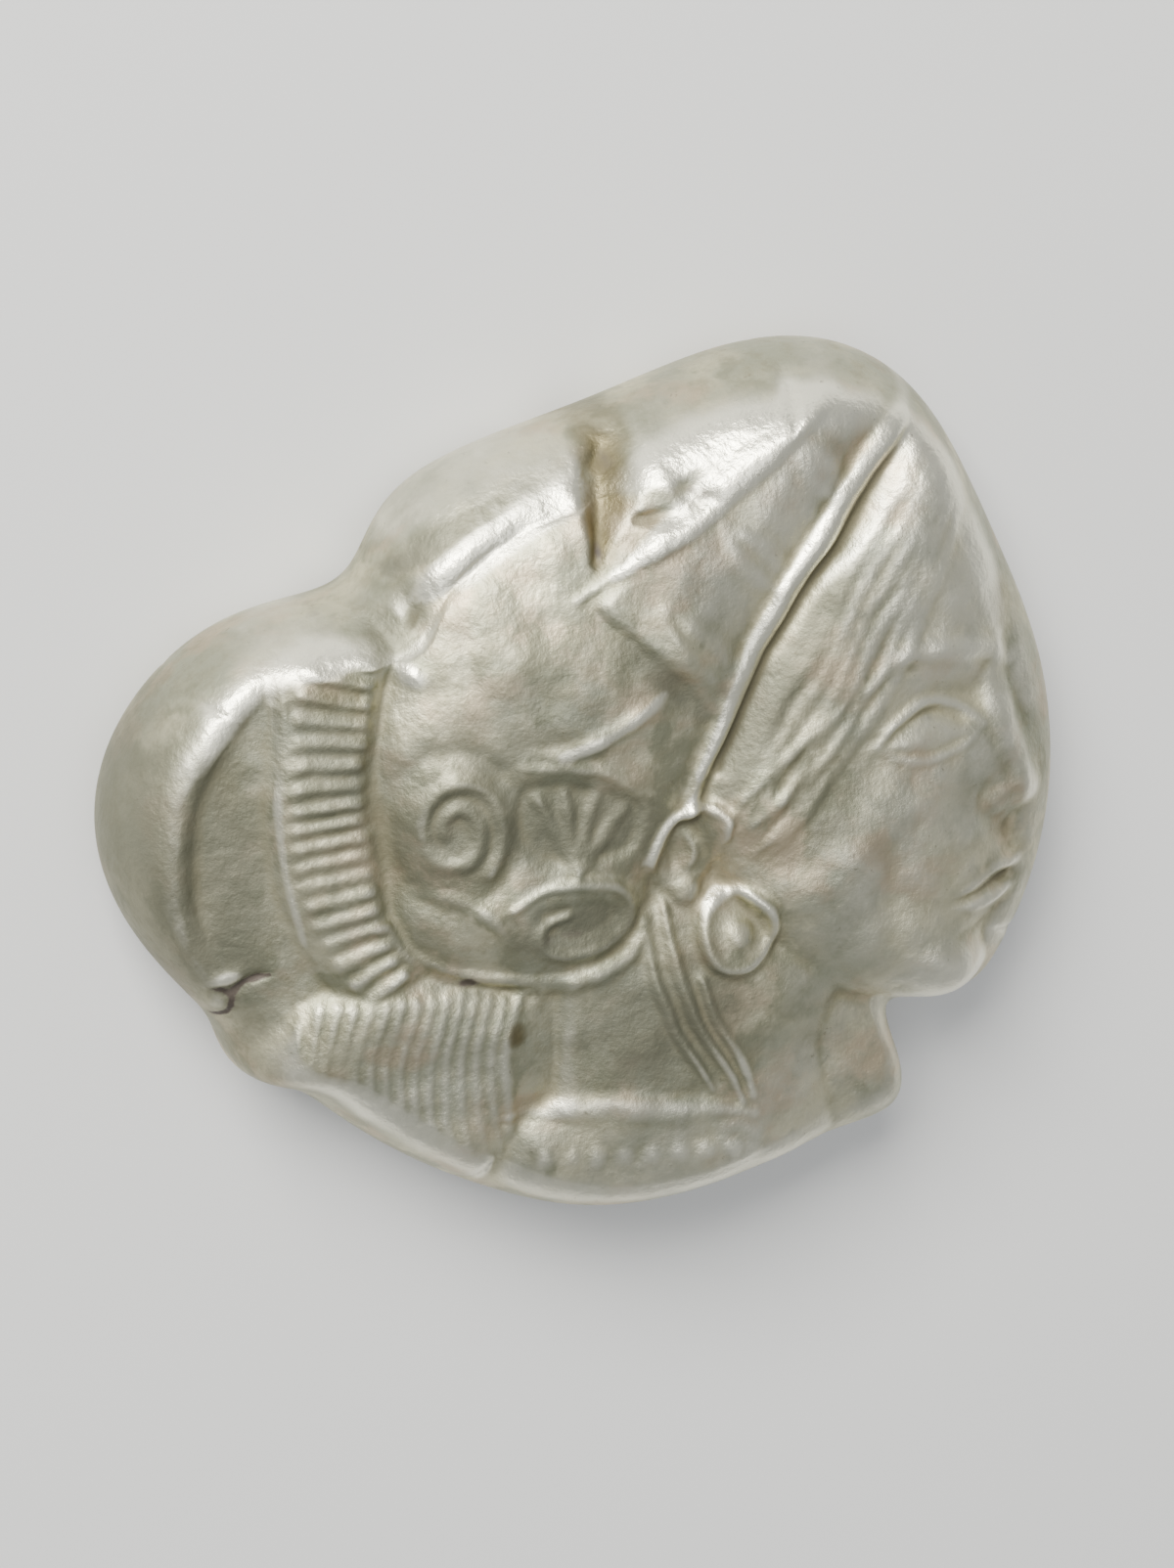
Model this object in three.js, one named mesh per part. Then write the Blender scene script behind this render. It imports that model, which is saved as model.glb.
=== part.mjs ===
// Ancient silver coin, struck by hand on a ragged flan, lying on its reverse.
// Millimetres and degrees. X is to the viewer's right across the head side, Y is up it, Z comes out of it.
import * as THREE from 'three';

// The flan's outline seen from the head side is a circle with swells and dents.
const FLAN_RADIUS = 9.7;
const SWELLS = [
  { at: 57, out: 1.92, over: 21 },
  { at: 351, out: 2.43, over: 79 },
  { at: 320, out: -2.2, over: 6 },
  { at: 313, out: 0.8, over: 9 },
  { at: 269, out: 0.31, over: 16 },
  { at: 211, out: 0.57, over: 6 },
  { at: 175, out: 2.44, over: 27 },
  { at: 135, out: -1.27, over: 12 },
  { at: 97, out: -0.69, over: 42 },
];

// Heights above the table.
const EDGE_MIDDLE = 2.0;
const FIELD_AT_RIM = 3.9;
const FIELD_AT_CENTRE = 4.65;
const HEAD_SIDE_ROUNDING = 1.45;
const BACK_ROUNDING = 0.95;
const RELIEF_FADE = 0.9;

// The head's die struck off the flan's middle, and the head is drawn round HEAD_DRAWN_AT. The die struck
// what lies inside STRUCK, and a lip of metal was left outside it on the left.
const HEAD_DRAWN_AT = [-0.6, 1.15];
const STRUCK = [[-8.4, 4.5], [-9.15, 3.8], [-9.75, 2.9], [-10.2, 1.9], [-10.4, 0.6], [-10.4, -0.6],
  [-10.2, -1.6], [-9.6, -3.0], [-8.0, -5.5], [0, -10.5], [10.5, -6], [11.5, 3], [6, 10.5], [-3, 9]];
const LIP_HEIGHT = 0.45;

// The sunk square of the back, and how wide a square its figures are drawn for.
const SQUARE_CENTRE = [0.6, -0.8];
const SQUARE_SIDE = 13.4;
const SQUARE_TURN = -20;
const SQUARE_DRAWN = 14.8;
const SQUARE_DEPTH = 1.05;
const SQUARE_SLOPE = 0.7;

// The body's facets. Points of a fine lattice over each face are taken in, worst deviation first, until the
// whole body has FACETS facets. LATTICE and EDGE_SHARE are shares of the flan's radius.
const FACETS = 9700;
const RIM_POINTS = 144;
const BORDER_POINTS = 90;
const SQUARE_POINTS = 14;
const LATTICE = 0.0125;
const EDGE_SHARE = 0.1;
const SOFTNESS = 0.1;

// Outlines of the head's large forms.
const BOWL = [[2.2, -0.4], [2.9, 1.2], [4.1, 3.6], [6.2, 6.6], [8.3, 9.2], [7.8, 10.8], [4.6, 10.8],
  [2.2, 9.4], [0.1, 7.5], [-1.9, 6.4], [-3.4, 5.4], [-4.5, 4.2], [-5.3, 2.6], [-5.6, 0.9], [-5.5, -1.2],
  [-5.1, -3.0], [-4.0, -4.2], [-2.0, -4.8], [0.1, -4.5], [1.0, -3.4], [1.4, -1.9]];
const PROFILE = [[8.6, 9.6], [10, 8.0], [10.5, 6.4], [10.75, 4.8], [10.75, 3.4], [10.6, 2.4],
  [10.5, 1.7], [10.9, 0.9], [11.25, -0.2], [11.75, -1.2], [11.75, -1.7], [11.5, -2.0], [10.9, -2.2],
  [10.6, -2.5], [10.75, -3.0], [11.1, -3.4], [11, -3.7], [10.6, -3.8], [10.9, -4.1], [10.9, -4.4],
  [10.5, -4.8], [10.25, -5.1], [10.25, -5.6], [10.4, -6.1], [10.1, -6.6], [9.5, -7.0], [8.5, -7.1],
  [7.25, -6.7], [6.1, -6.2], [5.1, -5.6], [4.4, -4.9], [3.9, -4.2], [3.2, -3.0]];
const FACE_BACK = [[2.4, -1.6], [2.2, -0.4], [2.9, 1.2], [4.1, 3.6], [6.2, 6.6], [8.0, 9.2]];
const NECK = [[-1.3, -3.6], [-1.3, -5.5], [-1.2, -6.9], [-1.4, -7.8], [-2.4, -8.3], [-2.8, -9.6],
  [-2.4, -11.4], [1.5, -12.2], [5.6, -11.6], [6.3, -10.4], [6.1, -9.0], [5.8, -7.8], [5.9, -6.7],
  [6.4, -5.2], [3.0, -3.0]];
const HAIR_BUNCH = [[-1.3, -4.5], [-1.3, -7.4], [-2.1, -8.4], [-2.7, -9.6], [-3.2, -11.5],
  [-7.5, -11.5], [-9.5, -7.5], [-8.0, -5.2], [-6.6, -4.1], [-4.6, -4.0], [-2.6, -4.7]];
const FRONT_BAND = [[-0.3, 5.0], [2.4, 6.9], [6.2, 9.6], [8.1, 9.3], [6.2, 6.6], [4.1, 3.6], [2.7, 1.5],
  [1.7, 2.6], [0.6, 3.8]];
const BUST = [[-2.7, -8.1], [-0.3, -8.2], [2.7, -8.6], [3.9, -9.0], [4.2, -9.8], [3.4, -10.9],
  [0.3, -11.4], [-2.1, -10.7], [-2.9, -9.4]];
const EAR = [[1.4, -2.7], [1.1, -1.7], [1.6, -0.9], [2.3, -0.5], [3.0, -0.9], [3.1, -1.6], [2.8, -2.4],
  [2.3, -3.1], [1.7, -3.2]];
const EYE = [[6.8, 0.4], [7.5, 0.9], [8.25, 1.1], [9, 0.9], [9.75, 0.4], [9.1, 0.1], [8.25, 0.0],
  [7.5, 0.1]];
const PALMETTE = [[-2.3, 0.75], [-0.6, 0.6], [0.8, 0.0], [0.8, -1.2], [-0.1, -1.6], [-2.2, -1.3]];
// The crest's inner and outer edges, and the two swells and the dip along its shoulder.
const HOLDER = [[1.2, 8.3], [-0.6, 7.25], [-2.2, 6.3], [-3.9, 5.1], [-4.9, 3.6], [-5.4, 1.8],
  [-5.5, 0.2], [-5.35, -1.6], [-5.0, -3.0], [-4.4, -4.1]];
const COMB = [[0.4, 9.5], [-2.6, 8.3], [-4.9, 6.9], [-6.5, 5.4], [-7.4, 3.8], [-7.75, 1.2],
  [-7.75, -0.9], [-7.45, -2.6], [-6.5, -4.3], [-5.6, -5.2]];
const SHOULDER_INNER = [[-4.5, 4.7], [-3.4, 5.6], [-2.3, 6.3], [-1.4, 6.8], [-0.3, 7.35]];
const SHOULDER_DIP = [[-4.6, 5.5], [-3.7, 6.15], [-2.6, 6.75], [-1.5, 7.2], [-0.4, 7.6]];
const SHOULDER_OUTER = [[-4.3, 6.4], [-3.2, 7.2], [-1.9, 7.6], [-0.5, 7.95]];
const BRISTLE_PITCH = 0.88;
const EARRING = [3.25, -3.9];
const SCROLL = [-3.78, -0.28];
const SCROLL_TALLER = 1.28;

// Small measuring and shaping helpers.
const clamp = (t) => Math.min(1, Math.max(0, t));
const ease = (t) => clamp(t) ** 2 * (3 - 2 * clamp(t));
const blend = (a, b, softness) => 0.5 * (a + b + Math.hypot(a - b, softness));
const radians = (degrees) => degrees * Math.PI / 180;

function flanRadius(angle) {
  let radius = FLAN_RADIUS;
  for (const { at, out, over } of SWELLS) {
    const away = ((angle * 180 / Math.PI - at + 540) % 360 + 360) % 360 - 180;
    radius += out * Math.exp(-((away / over) ** 2));
  }
  return radius;
}

// A smooth line through a few points, as short straight steps.
function smooth(points, closed = false, step = 0.3) {
  const count = points.length;
  const at = (i) => {
    if (closed) return points[(i + count) % count];
    return points[Math.min(count - 1, Math.max(0, i))];
  };
  const path = [];
  for (let i = 0; i < (closed ? count : count - 1); i++) {
    const [a, b, c, d] = [at(i - 1), at(i), at(i + 1), at(i + 2)];
    const steps = Math.max(2, Math.ceil(Math.hypot(c[0] - b[0], c[1] - b[1]) / step));
    for (let k = 0; k < steps; k++) {
      const t = k / steps;
      path.push([0, 1].map((n) => 0.5 * (2 * b[n] + (c[n] - a[n]) * t
        + (2 * a[n] - 5 * b[n] + 4 * c[n] - d[n]) * t * t + (3 * b[n] - a[n] - 3 * c[n] + d[n]) * t ** 3)));
    }
  }
  path.push(closed ? path[0] : points[count - 1]);
  return path;
}

// How far a point lies from a path and at what share of its length, or nothing beyond reach.
function measure(path, reach) {
  const xs = path.map((p) => p[0]);
  const ys = path.map((p) => p[1]);
  const [west, east] = [Math.min(...xs) - reach, Math.max(...xs) + reach];
  const [south, north] = [Math.min(...ys) - reach, Math.max(...ys) + reach];
  const steps = path.slice(1).map((p, i) => {
    const [dx, dy] = [p[0] - path[i][0], p[1] - path[i][1]];
    return { x: path[i][0], y: path[i][1], dx, dy, length: Math.hypot(dx, dy) };
  });
  const total = steps.reduce((sum, step) => sum + step.length, 0);
  const find = (x, y) => {
    if (x < west || x > east || y < south || y > north) return null;
    let best = Infinity;
    let run = 0;
    let share = 0;
    for (const step of steps) {
      const t = clamp(((x - step.x) * step.dx + (y - step.y) * step.dy) / (step.length ** 2 + 1e-12));
      const away = (x - step.x - t * step.dx) ** 2 + (y - step.y - t * step.dy) ** 2;
      if (away < best) {
        best = away;
        share = (run + t * step.length) / total;
      }
      run += step.length;
    }
    return { away: Math.sqrt(best), share };
  };
  return { find, total };
}

// A raised line of that full width, thinner at its two ends.
function ridge(points, width, height, ends = [1, 1], roundness = 1) {
  const path = measure(smooth(points), width / 2);
  return (x, y) => {
    const found = path.find(x, y);
    if (!found) return 0;
    const half = width / 2 * (ends[0] + (1 - ends[0]) * ease(found.share * 3))
      * (ends[1] + (1 - ends[1]) * ease((1 - found.share) * 3));
    return height * clamp(1 - (found.away / half) ** 2) ** roundness * Math.min(1, 2 * half / width + 0.2);
  };
}

// An oval with an edge, and a soft rise without one.
function oval([cx, cy], [rx, ry], turn, shape) {
  const [c, s] = [Math.cos(radians(turn)), Math.sin(radians(turn))];
  return (x, y) => {
    const u = ((x - cx) * c + (y - cy) * s) / rx;
    const v = ((y - cy) * c - (x - cx) * s) / ry;
    return shape(u * u + v * v);
  };
}
const boss = (centre, radii, height, turn = 0, roundness = 0.7) =>
  oval(centre, radii, turn, (r) => (r < 1 ? height * (1 - r) ** roundness : 0));
const rise = (centre, radii, height, turn = 0) => oval(centre, radii, turn, (r) => height * Math.exp(-r));

// Distance inside a closed outline, negative outside it.
function inside(path, reach = 3) {
  const line = measure(path, reach);
  return (x, y) => {
    const found = line.find(x, y);
    if (!found) return -reach;
    let odd = false;
    for (let i = 1; i < path.length; i++) {
      const [a, b] = [path[i - 1], path[i]];
      if ((a[1] > y) !== (b[1] > y) && x < a[0] + (y - a[1]) / (b[1] - a[1]) * (b[0] - a[0])) odd = !odd;
    }
    return odd ? found.away : -found.away;
  };
}
const outline = (points, reach) => inside(smooth(points, true), reach);
const puff = (depth, over, height) => height * (1 - (1 - clamp(depth / over)) ** 2) ** 0.6;
const sum = (forms) => (x, y) => forms.reduce((total, form) => total + form(x, y), 0);

// The big forms of the head.
const bowlIn = outline(BOWL);
const face = [...smooth(PROFILE), ...smooth(FACE_BACK)];
const faceIn = inside([...face, face[0]]);
const neckIn = outline(NECK);
const bunchIn = outline(HAIR_BUNCH);
const crest = [...smooth(HOLDER), ...smooth(COMB).reverse()];
const crestIn = inside([...crest, crest[0]]);
const holderLine = measure(smooth(HOLDER), 3);
const crestEdges = sum([ridge(HOLDER, 0.4, 0.12, [0.6, 0.5]), ridge(COMB, 0.42, 0.24, [0.6, 0.5])]);
const crestShoulder = sum([
  ridge(SHOULDER_INNER, 1.05, 0.26, [0.4, 0.8]),
  ridge(SHOULDER_OUTER, 1.05, 0.24, [0.4, 0.8]),
  ridge(SHOULDER_DIP, 0.8, -0.24, [0.4, 0.6]),
]);

function crestHeight(x, y) {
  const depth = crestIn(x, y);
  const shoulder = ease((y - 4.0) / 1.4);
  const edges = crestEdges(x, y) * (1 - shoulder) + crestShoulder(x, y);
  let height = puff(depth, 0.5 + 0.7 * shoulder, 0.45) + edges;
  const found = holderLine.find(x, y);
  if (found && depth > 0.2 && x < 0) {
    const count = Math.round(holderLine.total / BRISTLE_PITCH);
    const bristles = 0.5 + 0.5 * Math.cos(2 * Math.PI * found.share * count);
    height += 0.2 * bristles * ease((found.away - 0.1) / 0.15) * ease((depth - 0.22) / 0.15)
      * ease((4.6 - y) / 1.2) * ease((y + 4.9) / 0.8);
  }
  return height;
}

// Modelling of the cheek, brow, eye socket, chin and jaw.
const flesh = sum([
  rise([6.9, -2.2], [2.4, 2.2], 0.42),
  rise([8.5, 4.9], [1.5, 2.2], 0.2),
  rise([9.05, 1.05], [1.5, 1.0], -0.36, 10),
  rise([9.1, -5.9], [1.0, 0.9], 0.24),
  rise([9.9, -5.0], [0.8, 0.32], -0.14),
  rise([5.0, -3.6], [1.6, 1.8], 0.1),
]);
const eyeIn = outline(EYE, 1);
const features = sum([
  ridge([[6.75, 0.4], [7.3, 1.0], [8.2, 1.3], [9.1, 1.05], [9.9, 0.45]], 0.34, 0.24, [0.5, 0.5]),
  ridge([[6.8, 0.4], [7.5, 0.05], [8.3, -0.1], [9.2, 0.05], [9.8, 0.4]], 0.28, 0.14, [0.5, 0.5]),
  (x, y) => 0.24 * ease(eyeIn(x, y) / 0.45),
  ridge([[6.5, 1.9], [7.4, 2.5], [8.6, 2.65], [9.9, 2.4], [10.6, 1.9]], 0.8, 0.16, [0.4, 0.7], 1.5),
  ridge([[10.4, 2.6], [10.25, 1.5], [10.6, 0.3], [11, -0.7], [11.25, -1.5]], 1.1, 0.26, [0.3, 1], 1.5),
  boss([10.45, -1.6], [0.5, 0.4], 0.2, 20),
  ridge([[9.9, -1.1], [9.6, -1.6], [9.9, -2.1], [10.4, -2.2]], 0.3, -0.12, [0.5, 0.5]),
  ridge([[8.9, -3.9], [9.6, -4.0], [10.25, -3.9], [10.75, -3.9]], 0.26, -0.16, [0.5, 1]),
  ridge([[9, -3.8], [9.9, -3.5], [10.5, -3.4], [11, -3.4]], 0.5, 0.15, [0.3, 1], 1.3),
  ridge([[9.1, -4.1], [10, -4.3], [10.5, -4.3], [10.75, -4.3]], 0.5, 0.16, [0.3, 1], 1.3),
]);

// Wavy locks beside the visor, and short curls before the ear.
function forelock(i) {
  const base = [[2.75, -0.9], [3.2, 0.6], [4.1, 2.3], [5.0, 3.8], [6.0, 5.4], [7.1, 6.9], [8.2, 8.4]];
  const points = base.map(([x, y], k) => {
    const narrow = [0.62, 0.85, 1, 1, 0.95, 0.8, 0.62][k];
    const away = (0.7 + 0.66 * i) * narrow + 0.09 * Math.sin(k * 2.6 + i * 1.3);
    return [x + 0.84 * away, y - 0.54 * away];
  });
  return ridge(points, 0.74, 0.26, [0.6, 0.4], 0.8);
}
const hair = sum([
  ...[0, 1, 2, 3].map(forelock),
  ridge([[3.3, -0.5], [4.3, 0.35], [5.3, 1.1], [5.9, 1.75]], 0.7, 0.18, [0.5, 0.4]),
  ridge([[3.6, -1.6], [4.4, -0.9], [5.3, 0.0], [5.9, 0.8]], 0.7, 0.18, [0.5, 0.4]),
]);

// Long strands hanging behind the neck.
const strands = Array.from({ length: 7 }, (_, i) => {
  const x = -1.9 - 0.88 * i;
  const points = [[x + 0.4, -4.8], [x + 0.1, -6.2], [x - 0.2, -8.2], [x - 0.25, -9.6], [x - 0.15, -11.2]];
  return ridge(points, 0.86, 0.28);
});

// What stands on the bowl: front band with leaves, visor, scroll, palmette, tendrils and neck guard.
const bandIn = outline(FRONT_BAND, 2);
const palmetteIn = outline(PALMETTE, 1.5);
function leaf(base, tip, width) {
  const [dx, dy] = [tip[0] - base[0], tip[1] - base[1]];
  const across = width / 2 / Math.hypot(dx, dy);
  const middle = [base[0] + dx / 2, base[1] + dy / 2];
  const shape = outline([base, [middle[0] + dy * across, middle[1] - dx * across], tip,
    [middle[0] - dy * across, middle[1] + dx * across]], 1);
  return (x, y) => 0.17 * ease(shape(x, y) / 0.26);
}
const scroll = Array.from({ length: 20 }, (_, k) => {
  const angle = radians(-50 + 24 * k);
  const radius = 1.12 - 0.78 * k / 19;
  return [SCROLL[0] + radius * Math.cos(angle), SCROLL[1] + SCROLL_TALLER * radius * Math.sin(angle)];
});
const petals = [[-1.7, 0.25], [-0.7, 0.35], [0.3, -0.15]].map(([x, y]) =>
  ridge([[-0.75, -1.75], [(x - 0.75) / 2, (y - 1.65) / 2], [x, y]], 0.5, 0.2, [0.5, 0.9]));
const bowlWork = sum([
  (x, y) => 0.13 * ease(bandIn(x, y) / 0.2),
  ridge([[-0.35, 5.05], [2.4, 6.9], [6.4, 9.75]], 0.95, 0.32, [0.7, 0.9]),
  leaf([3.3, 2.25], [1.35, 4.7], 0.9),
  leaf([4.6, 4.45], [2.9, 6.5], 0.85),
  leaf([6.0, 6.55], [4.9, 8.2], 0.75),
]);
const scrollWork = sum([
  ridge([[2.05, -0.6], [2.4, 0.3], [4.1, 3.6], [6.2, 6.6], [8.3, 9.2]], 0.68, 0.32, [0.7, 0.8]),
  ridge(scroll, 0.46, 0.2, [0.8, 0.8]),
  (x, y) => -0.2 * ease(palmetteIn(x, y) / 0.35),
  ...petals,
  ridge([[-2.5, -2.4], [-1.9, -2.05], [-1.0, -1.95], [0.1, -2.15], [0.65, -2.85], [0.35, -3.55],
    [-0.6, -3.85], [-1.7, -3.6], [-1.75, -3.0], [-1.1, -2.75]], 0.46, 0.22, [0.6, 0.6]),
  ridge([[-2.1, 1.4], [-0.9, 1.4], [0.2, 1.85], [1.4, 2.6]], 0.5, 0.24, [0.4, 0.4]),
  ridge([[-2.3, 1.1], [-1.2, 1.0], [-0.2, 0.75], [0.75, 0.1]], 0.46, 0.22, [0.4, 0.4]),
  ridge([[-5.3, -2.6], [-4.7, -3.6], [-3.6, -4.25], [-2.0, -4.6], [-0.4, -4.55], [0.6, -4.1], [1.0, -3.4]],
    0.6, 0.28, [0.6, 0.6]),
]);
const visorShade = ridge([[2.85, 0.3], [4.4, 3.4], [6.5, 6.25], [8.2, 8.4]], 0.5, -0.16, [0.8, 0.3]);

// Ear, round earring, locks on the neck, edge of the bust and its beads.
const earIn = outline(EAR, 1.5);
const bustIn = outline(BUST, 2);
const beads = [0, 1, 2, 3, 4, 5].map((k) => boss([-1.6 + 0.95 * k, -9.45 - 0.06 * k], [0.4, 0.4], 0.16));
const trim = sum([
  (x, y) => 0.16 * ease(earIn(x, y) / 0.3),
  ridge([[1.35, -2.5], [1.15, -1.7], [1.55, -0.95], [2.3, -0.6], [2.9, -0.9], [2.95, -1.5]], 0.5, 0.28,
    [0.6, 0.6]),
  rise([1.75, -1.8], [0.22, 0.45], -0.18),
  boss([2.1, -2.85], [0.42, 0.4], 0.18),
  (x, y) => 0.22 * ease((1.22 - Math.hypot(x - EARRING[0], y - EARRING[1])) / 0.25),
  (x, y) => 0.15 * clamp(1 - ((Math.hypot(x - EARRING[0], y - EARRING[1]) - 0.92) / 0.28) ** 2),
  boss(EARRING, [0.5, 0.5], 0.24),
  ridge([[1.3, -3.2], [1.4, -4.8], [1.9, -6.2], [2.8, -8.2]], 0.56, 0.24, [0.7, 0.5]),
  ridge([[2.2, -4.9], [2.6, -6.0], [3.3, -7.2], [3.75, -8.5]], 0.56, 0.24, [0.7, 0.5]),
  ridge([[-1.0, -4.9], [-1.05, -7.9]], 1.1, 0.13, [0.8, 0.9]),
  (x, y) => 0.13 * ease(bustIn(x, y) / 0.5),
  ridge([[-2.7, -8.1], [-0.3, -8.2], [2.7, -8.65], [3.85, -9.0]], 0.8, 0.17, [0.3, 0.3]),
  ...beads,
]);

// The crack that runs in from the top edge, with its side branch.
const crack = sum([
  ridge([[1.25, 10.4], [0.95, 9.2], [0.6, 8.1], [0.2, 6.9], [-0.1, 5.7]], 1.3, -0.5, [1, 0.25]),
  boss([2.35, 7.1], [0.55, 0.32], -0.22, -20),
]);

function headRelief(x, y) {
  const bowlDepth = bowlIn(x, y);
  const faceDepth = faceIn(x, y);
  const bunchDepth = bunchIn(x, y);
  const onBowl = ease(bowlDepth / 0.25);
  const onFace = ease(faceDepth / 0.25);
  const bowl = puff(bowlDepth, 2.6, 0.95) + rise([0.3, 2.4], [4.4, 4.4], 0.26)(x, y) * onBowl;
  const faceForm = puff(faceDepth, 2.6, 1.0) + onFace * flesh(x, y);
  const neck = puff(neckIn(x, y), 2.4, 0.75);
  const bunch = puff(bunchDepth, 1.4, 0.6)
    + Math.max(...strands.map((strand) => strand(x, y))) * ease(bunchDepth / 0.3);
  let height = blend(neck, bunch, 0.1);
  height = blend(height, crestHeight(x, y), 0.08);
  height = blend(height, faceForm, 0.12);
  height = Math.max(0, blend(height, bowl, 0.12) - 0.06);
  height += (hair(x, y) + visorShade(x, y)) * onFace + bowlWork(x, y) * onBowl;
  return height + scrollWork(x, y) + trim(x, y) + features(x, y) + crack(x, y);
}

// The back, seen from that side: u is to its right and v is up. An owl stands in the sunk square.
const owlBody = outline([[2.6, 2.0], [3.0, 0.2], [2.6, -1.8], [1.4, -3.4], [-0.6, -4.2], [-2.6, -5.2],
  [-4.6, -6.4], [-5.2, -5.8], [-4.2, -4.2], [-3.0, -2.0], [-2.0, 0.4], [-1.2, 2.2]]);
const owlHead = outline([[-1.6, 3.4], [-1.3, 4.8], [0.0, 5.6], [1.6, 5.6], [2.9, 4.8], [3.2, 3.4],
  [2.6, 2.2], [0.8, 1.7], [-0.9, 2.1]]);
const crescentOut = outline([[-4.6, 4.3], [-3.9, 4.9], [-3.0, 4.6], [-2.7, 3.8], [-3.1, 3.1],
  [-3.9, 2.9]], 2);
const crescentCut = boss([-4.0, 4.2], [0.75, 0.7], 0.5);
function owlEye(at) {
  const away = (u, v) => Math.hypot(u - at[0], v - at[1]);
  return sum([
    (u, v) => 0.16 * ease((0.92 - away(u, v)) / 0.2),
    (u, v) => -0.2 * ease((0.62 - away(u, v)) / 0.2),
    boss(at, [0.36, 0.36], 0.24),
  ]);
}
function feather(i) {
  const points = [[-1.5 + 0.37 * i, 0.9 - 0.5 * i], [-1.6 + 0.17 * i, -1.0 - 0.55 * i],
    [-2.6 + 0.26 * i, -3.1 - 0.5 * i]];
  return ridge(points, 0.4, 0.16, [0.5, 0.6]);
}
const owl = sum([
  owlEye([0.0, 3.9]),
  owlEye([2.0, 3.9]),
  ridge([[1.0, 4.3], [1.0, 3.4], [1.0, 2.6]], 0.46, 0.2, [0.6, 0.8]),
  ...[0, 1, 2, 3, 4, 5].map(feather),
]);
// A column of plain strokes.
function stroke(i) {
  return ridge([[5.1 + 0.3 * (i % 2), 3.6 - 1.05 * i], [6.1, 3.9 - 1.05 * i]], 0.42, 0.35, [0.8, 0.8]);
}
const apart = sum([
  ridge([[0.4, -3.6], [0.6, -4.8], [0.7, -6.0]], 0.7, 0.5, [1, 0.8]),
  ridge([[1.7, -3.0], [2.0, -4.6], [2.2, -6.0]], 0.7, 0.5, [1, 0.8]),
  ridge([[0.0, -6.3], [0.8, -6.05], [1.5, -6.3]], 0.4, 0.35, [0.6, 0.6]),
  ridge([[1.6, -6.3], [2.3, -6.05], [3.1, -6.3]], 0.4, 0.35, [0.6, 0.6]),
  ridge([[-6.8, 6.9], [-5.9, 6.0], [-5.2, 5.2]], 0.32, 0.35, [0.7, 0.7]),
  ridge([[-6.3, 5.9], [-6.3, 4.8], [-6.0, 3.7]], 0.8, 0.4, [0.4, 0.3]),
  ridge([[-5.4, 6.3], [-4.3, 6.4], [-3.2, 6.1]], 0.8, 0.4, [0.4, 0.3]),
  boss([-4.9, 5.3], [0.45, 0.45], 0.4),
  ...[0, 1, 2, 3, 4, 5, 6, 7, 8].map(stroke),
]);

function backRelief(u, v) {
  const body = puff(owlBody(u, v), 1.8, 0.75);
  const head = puff(owlHead(u, v), 1.2, 0.8);
  const form = blend(body, head, 0.1) - 0.05;
  const moon = Math.max(0, 0.4 * ease(crescentOut(u, v) / 0.3) - crescentCut(u, v));
  return Math.max(0, form) + moon + owl(u, v) * ease(form / 0.3) + apart(u, v);
}

// Height of each face at a point, and how far round the edge the point lies.
const struckIn = outline(STRUCK, 2);
function headSide(x, y, depth) {
  const share = 1 - depth / flanRadius(Math.atan2(y, x));
  const field = FIELD_AT_RIM + (FIELD_AT_CENTRE - FIELD_AT_RIM) * (1 - share * share);
  const lip = LIP_HEIGHT * ease((0.1 - struckIn(x, y)) / 0.4) * ease((-x - 7.4) / 1.6);
  const relief = headRelief(x - HEAD_DRAWN_AT[0], y - HEAD_DRAWN_AT[1]);
  const top = field + lip + relief * ease(depth / RELIEF_FADE);
  const round = clamp(depth / HEAD_SIDE_ROUNDING);
  return EDGE_MIDDLE + (top - EDGE_MIDDLE) * Math.sqrt(1 - (1 - round) ** 2);
}
function backSide(x, y, depth) {
  const [c, s] = [Math.cos(radians(SQUARE_TURN)), Math.sin(radians(SQUARE_TURN))];
  const [dx, dy] = [x - SQUARE_CENTRE[0], y - SQUARE_CENTRE[1]];
  const [p, q] = [dx * c + dy * s, dy * c - dx * s];
  const within = SQUARE_SIDE / 2 - Math.max(Math.abs(p), Math.abs(q));
  const sunk = ease(within / SQUARE_SLOPE);
  const drawn = SQUARE_SIDE / SQUARE_DRAWN;
  const clear = ease((within - SQUARE_SLOPE * 0.4) / 0.5);
  const relief = Math.min(0.92, backRelief(-p / drawn, q / drawn)) * clear;
  const floor = sunk * (SQUARE_DEPTH - relief);
  const round = clamp(depth / BACK_ROUNDING);
  return EDGE_MIDDLE + (floor - EDGE_MIDDLE) * Math.sqrt(1 - (1 - round) ** 2);
}

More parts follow.
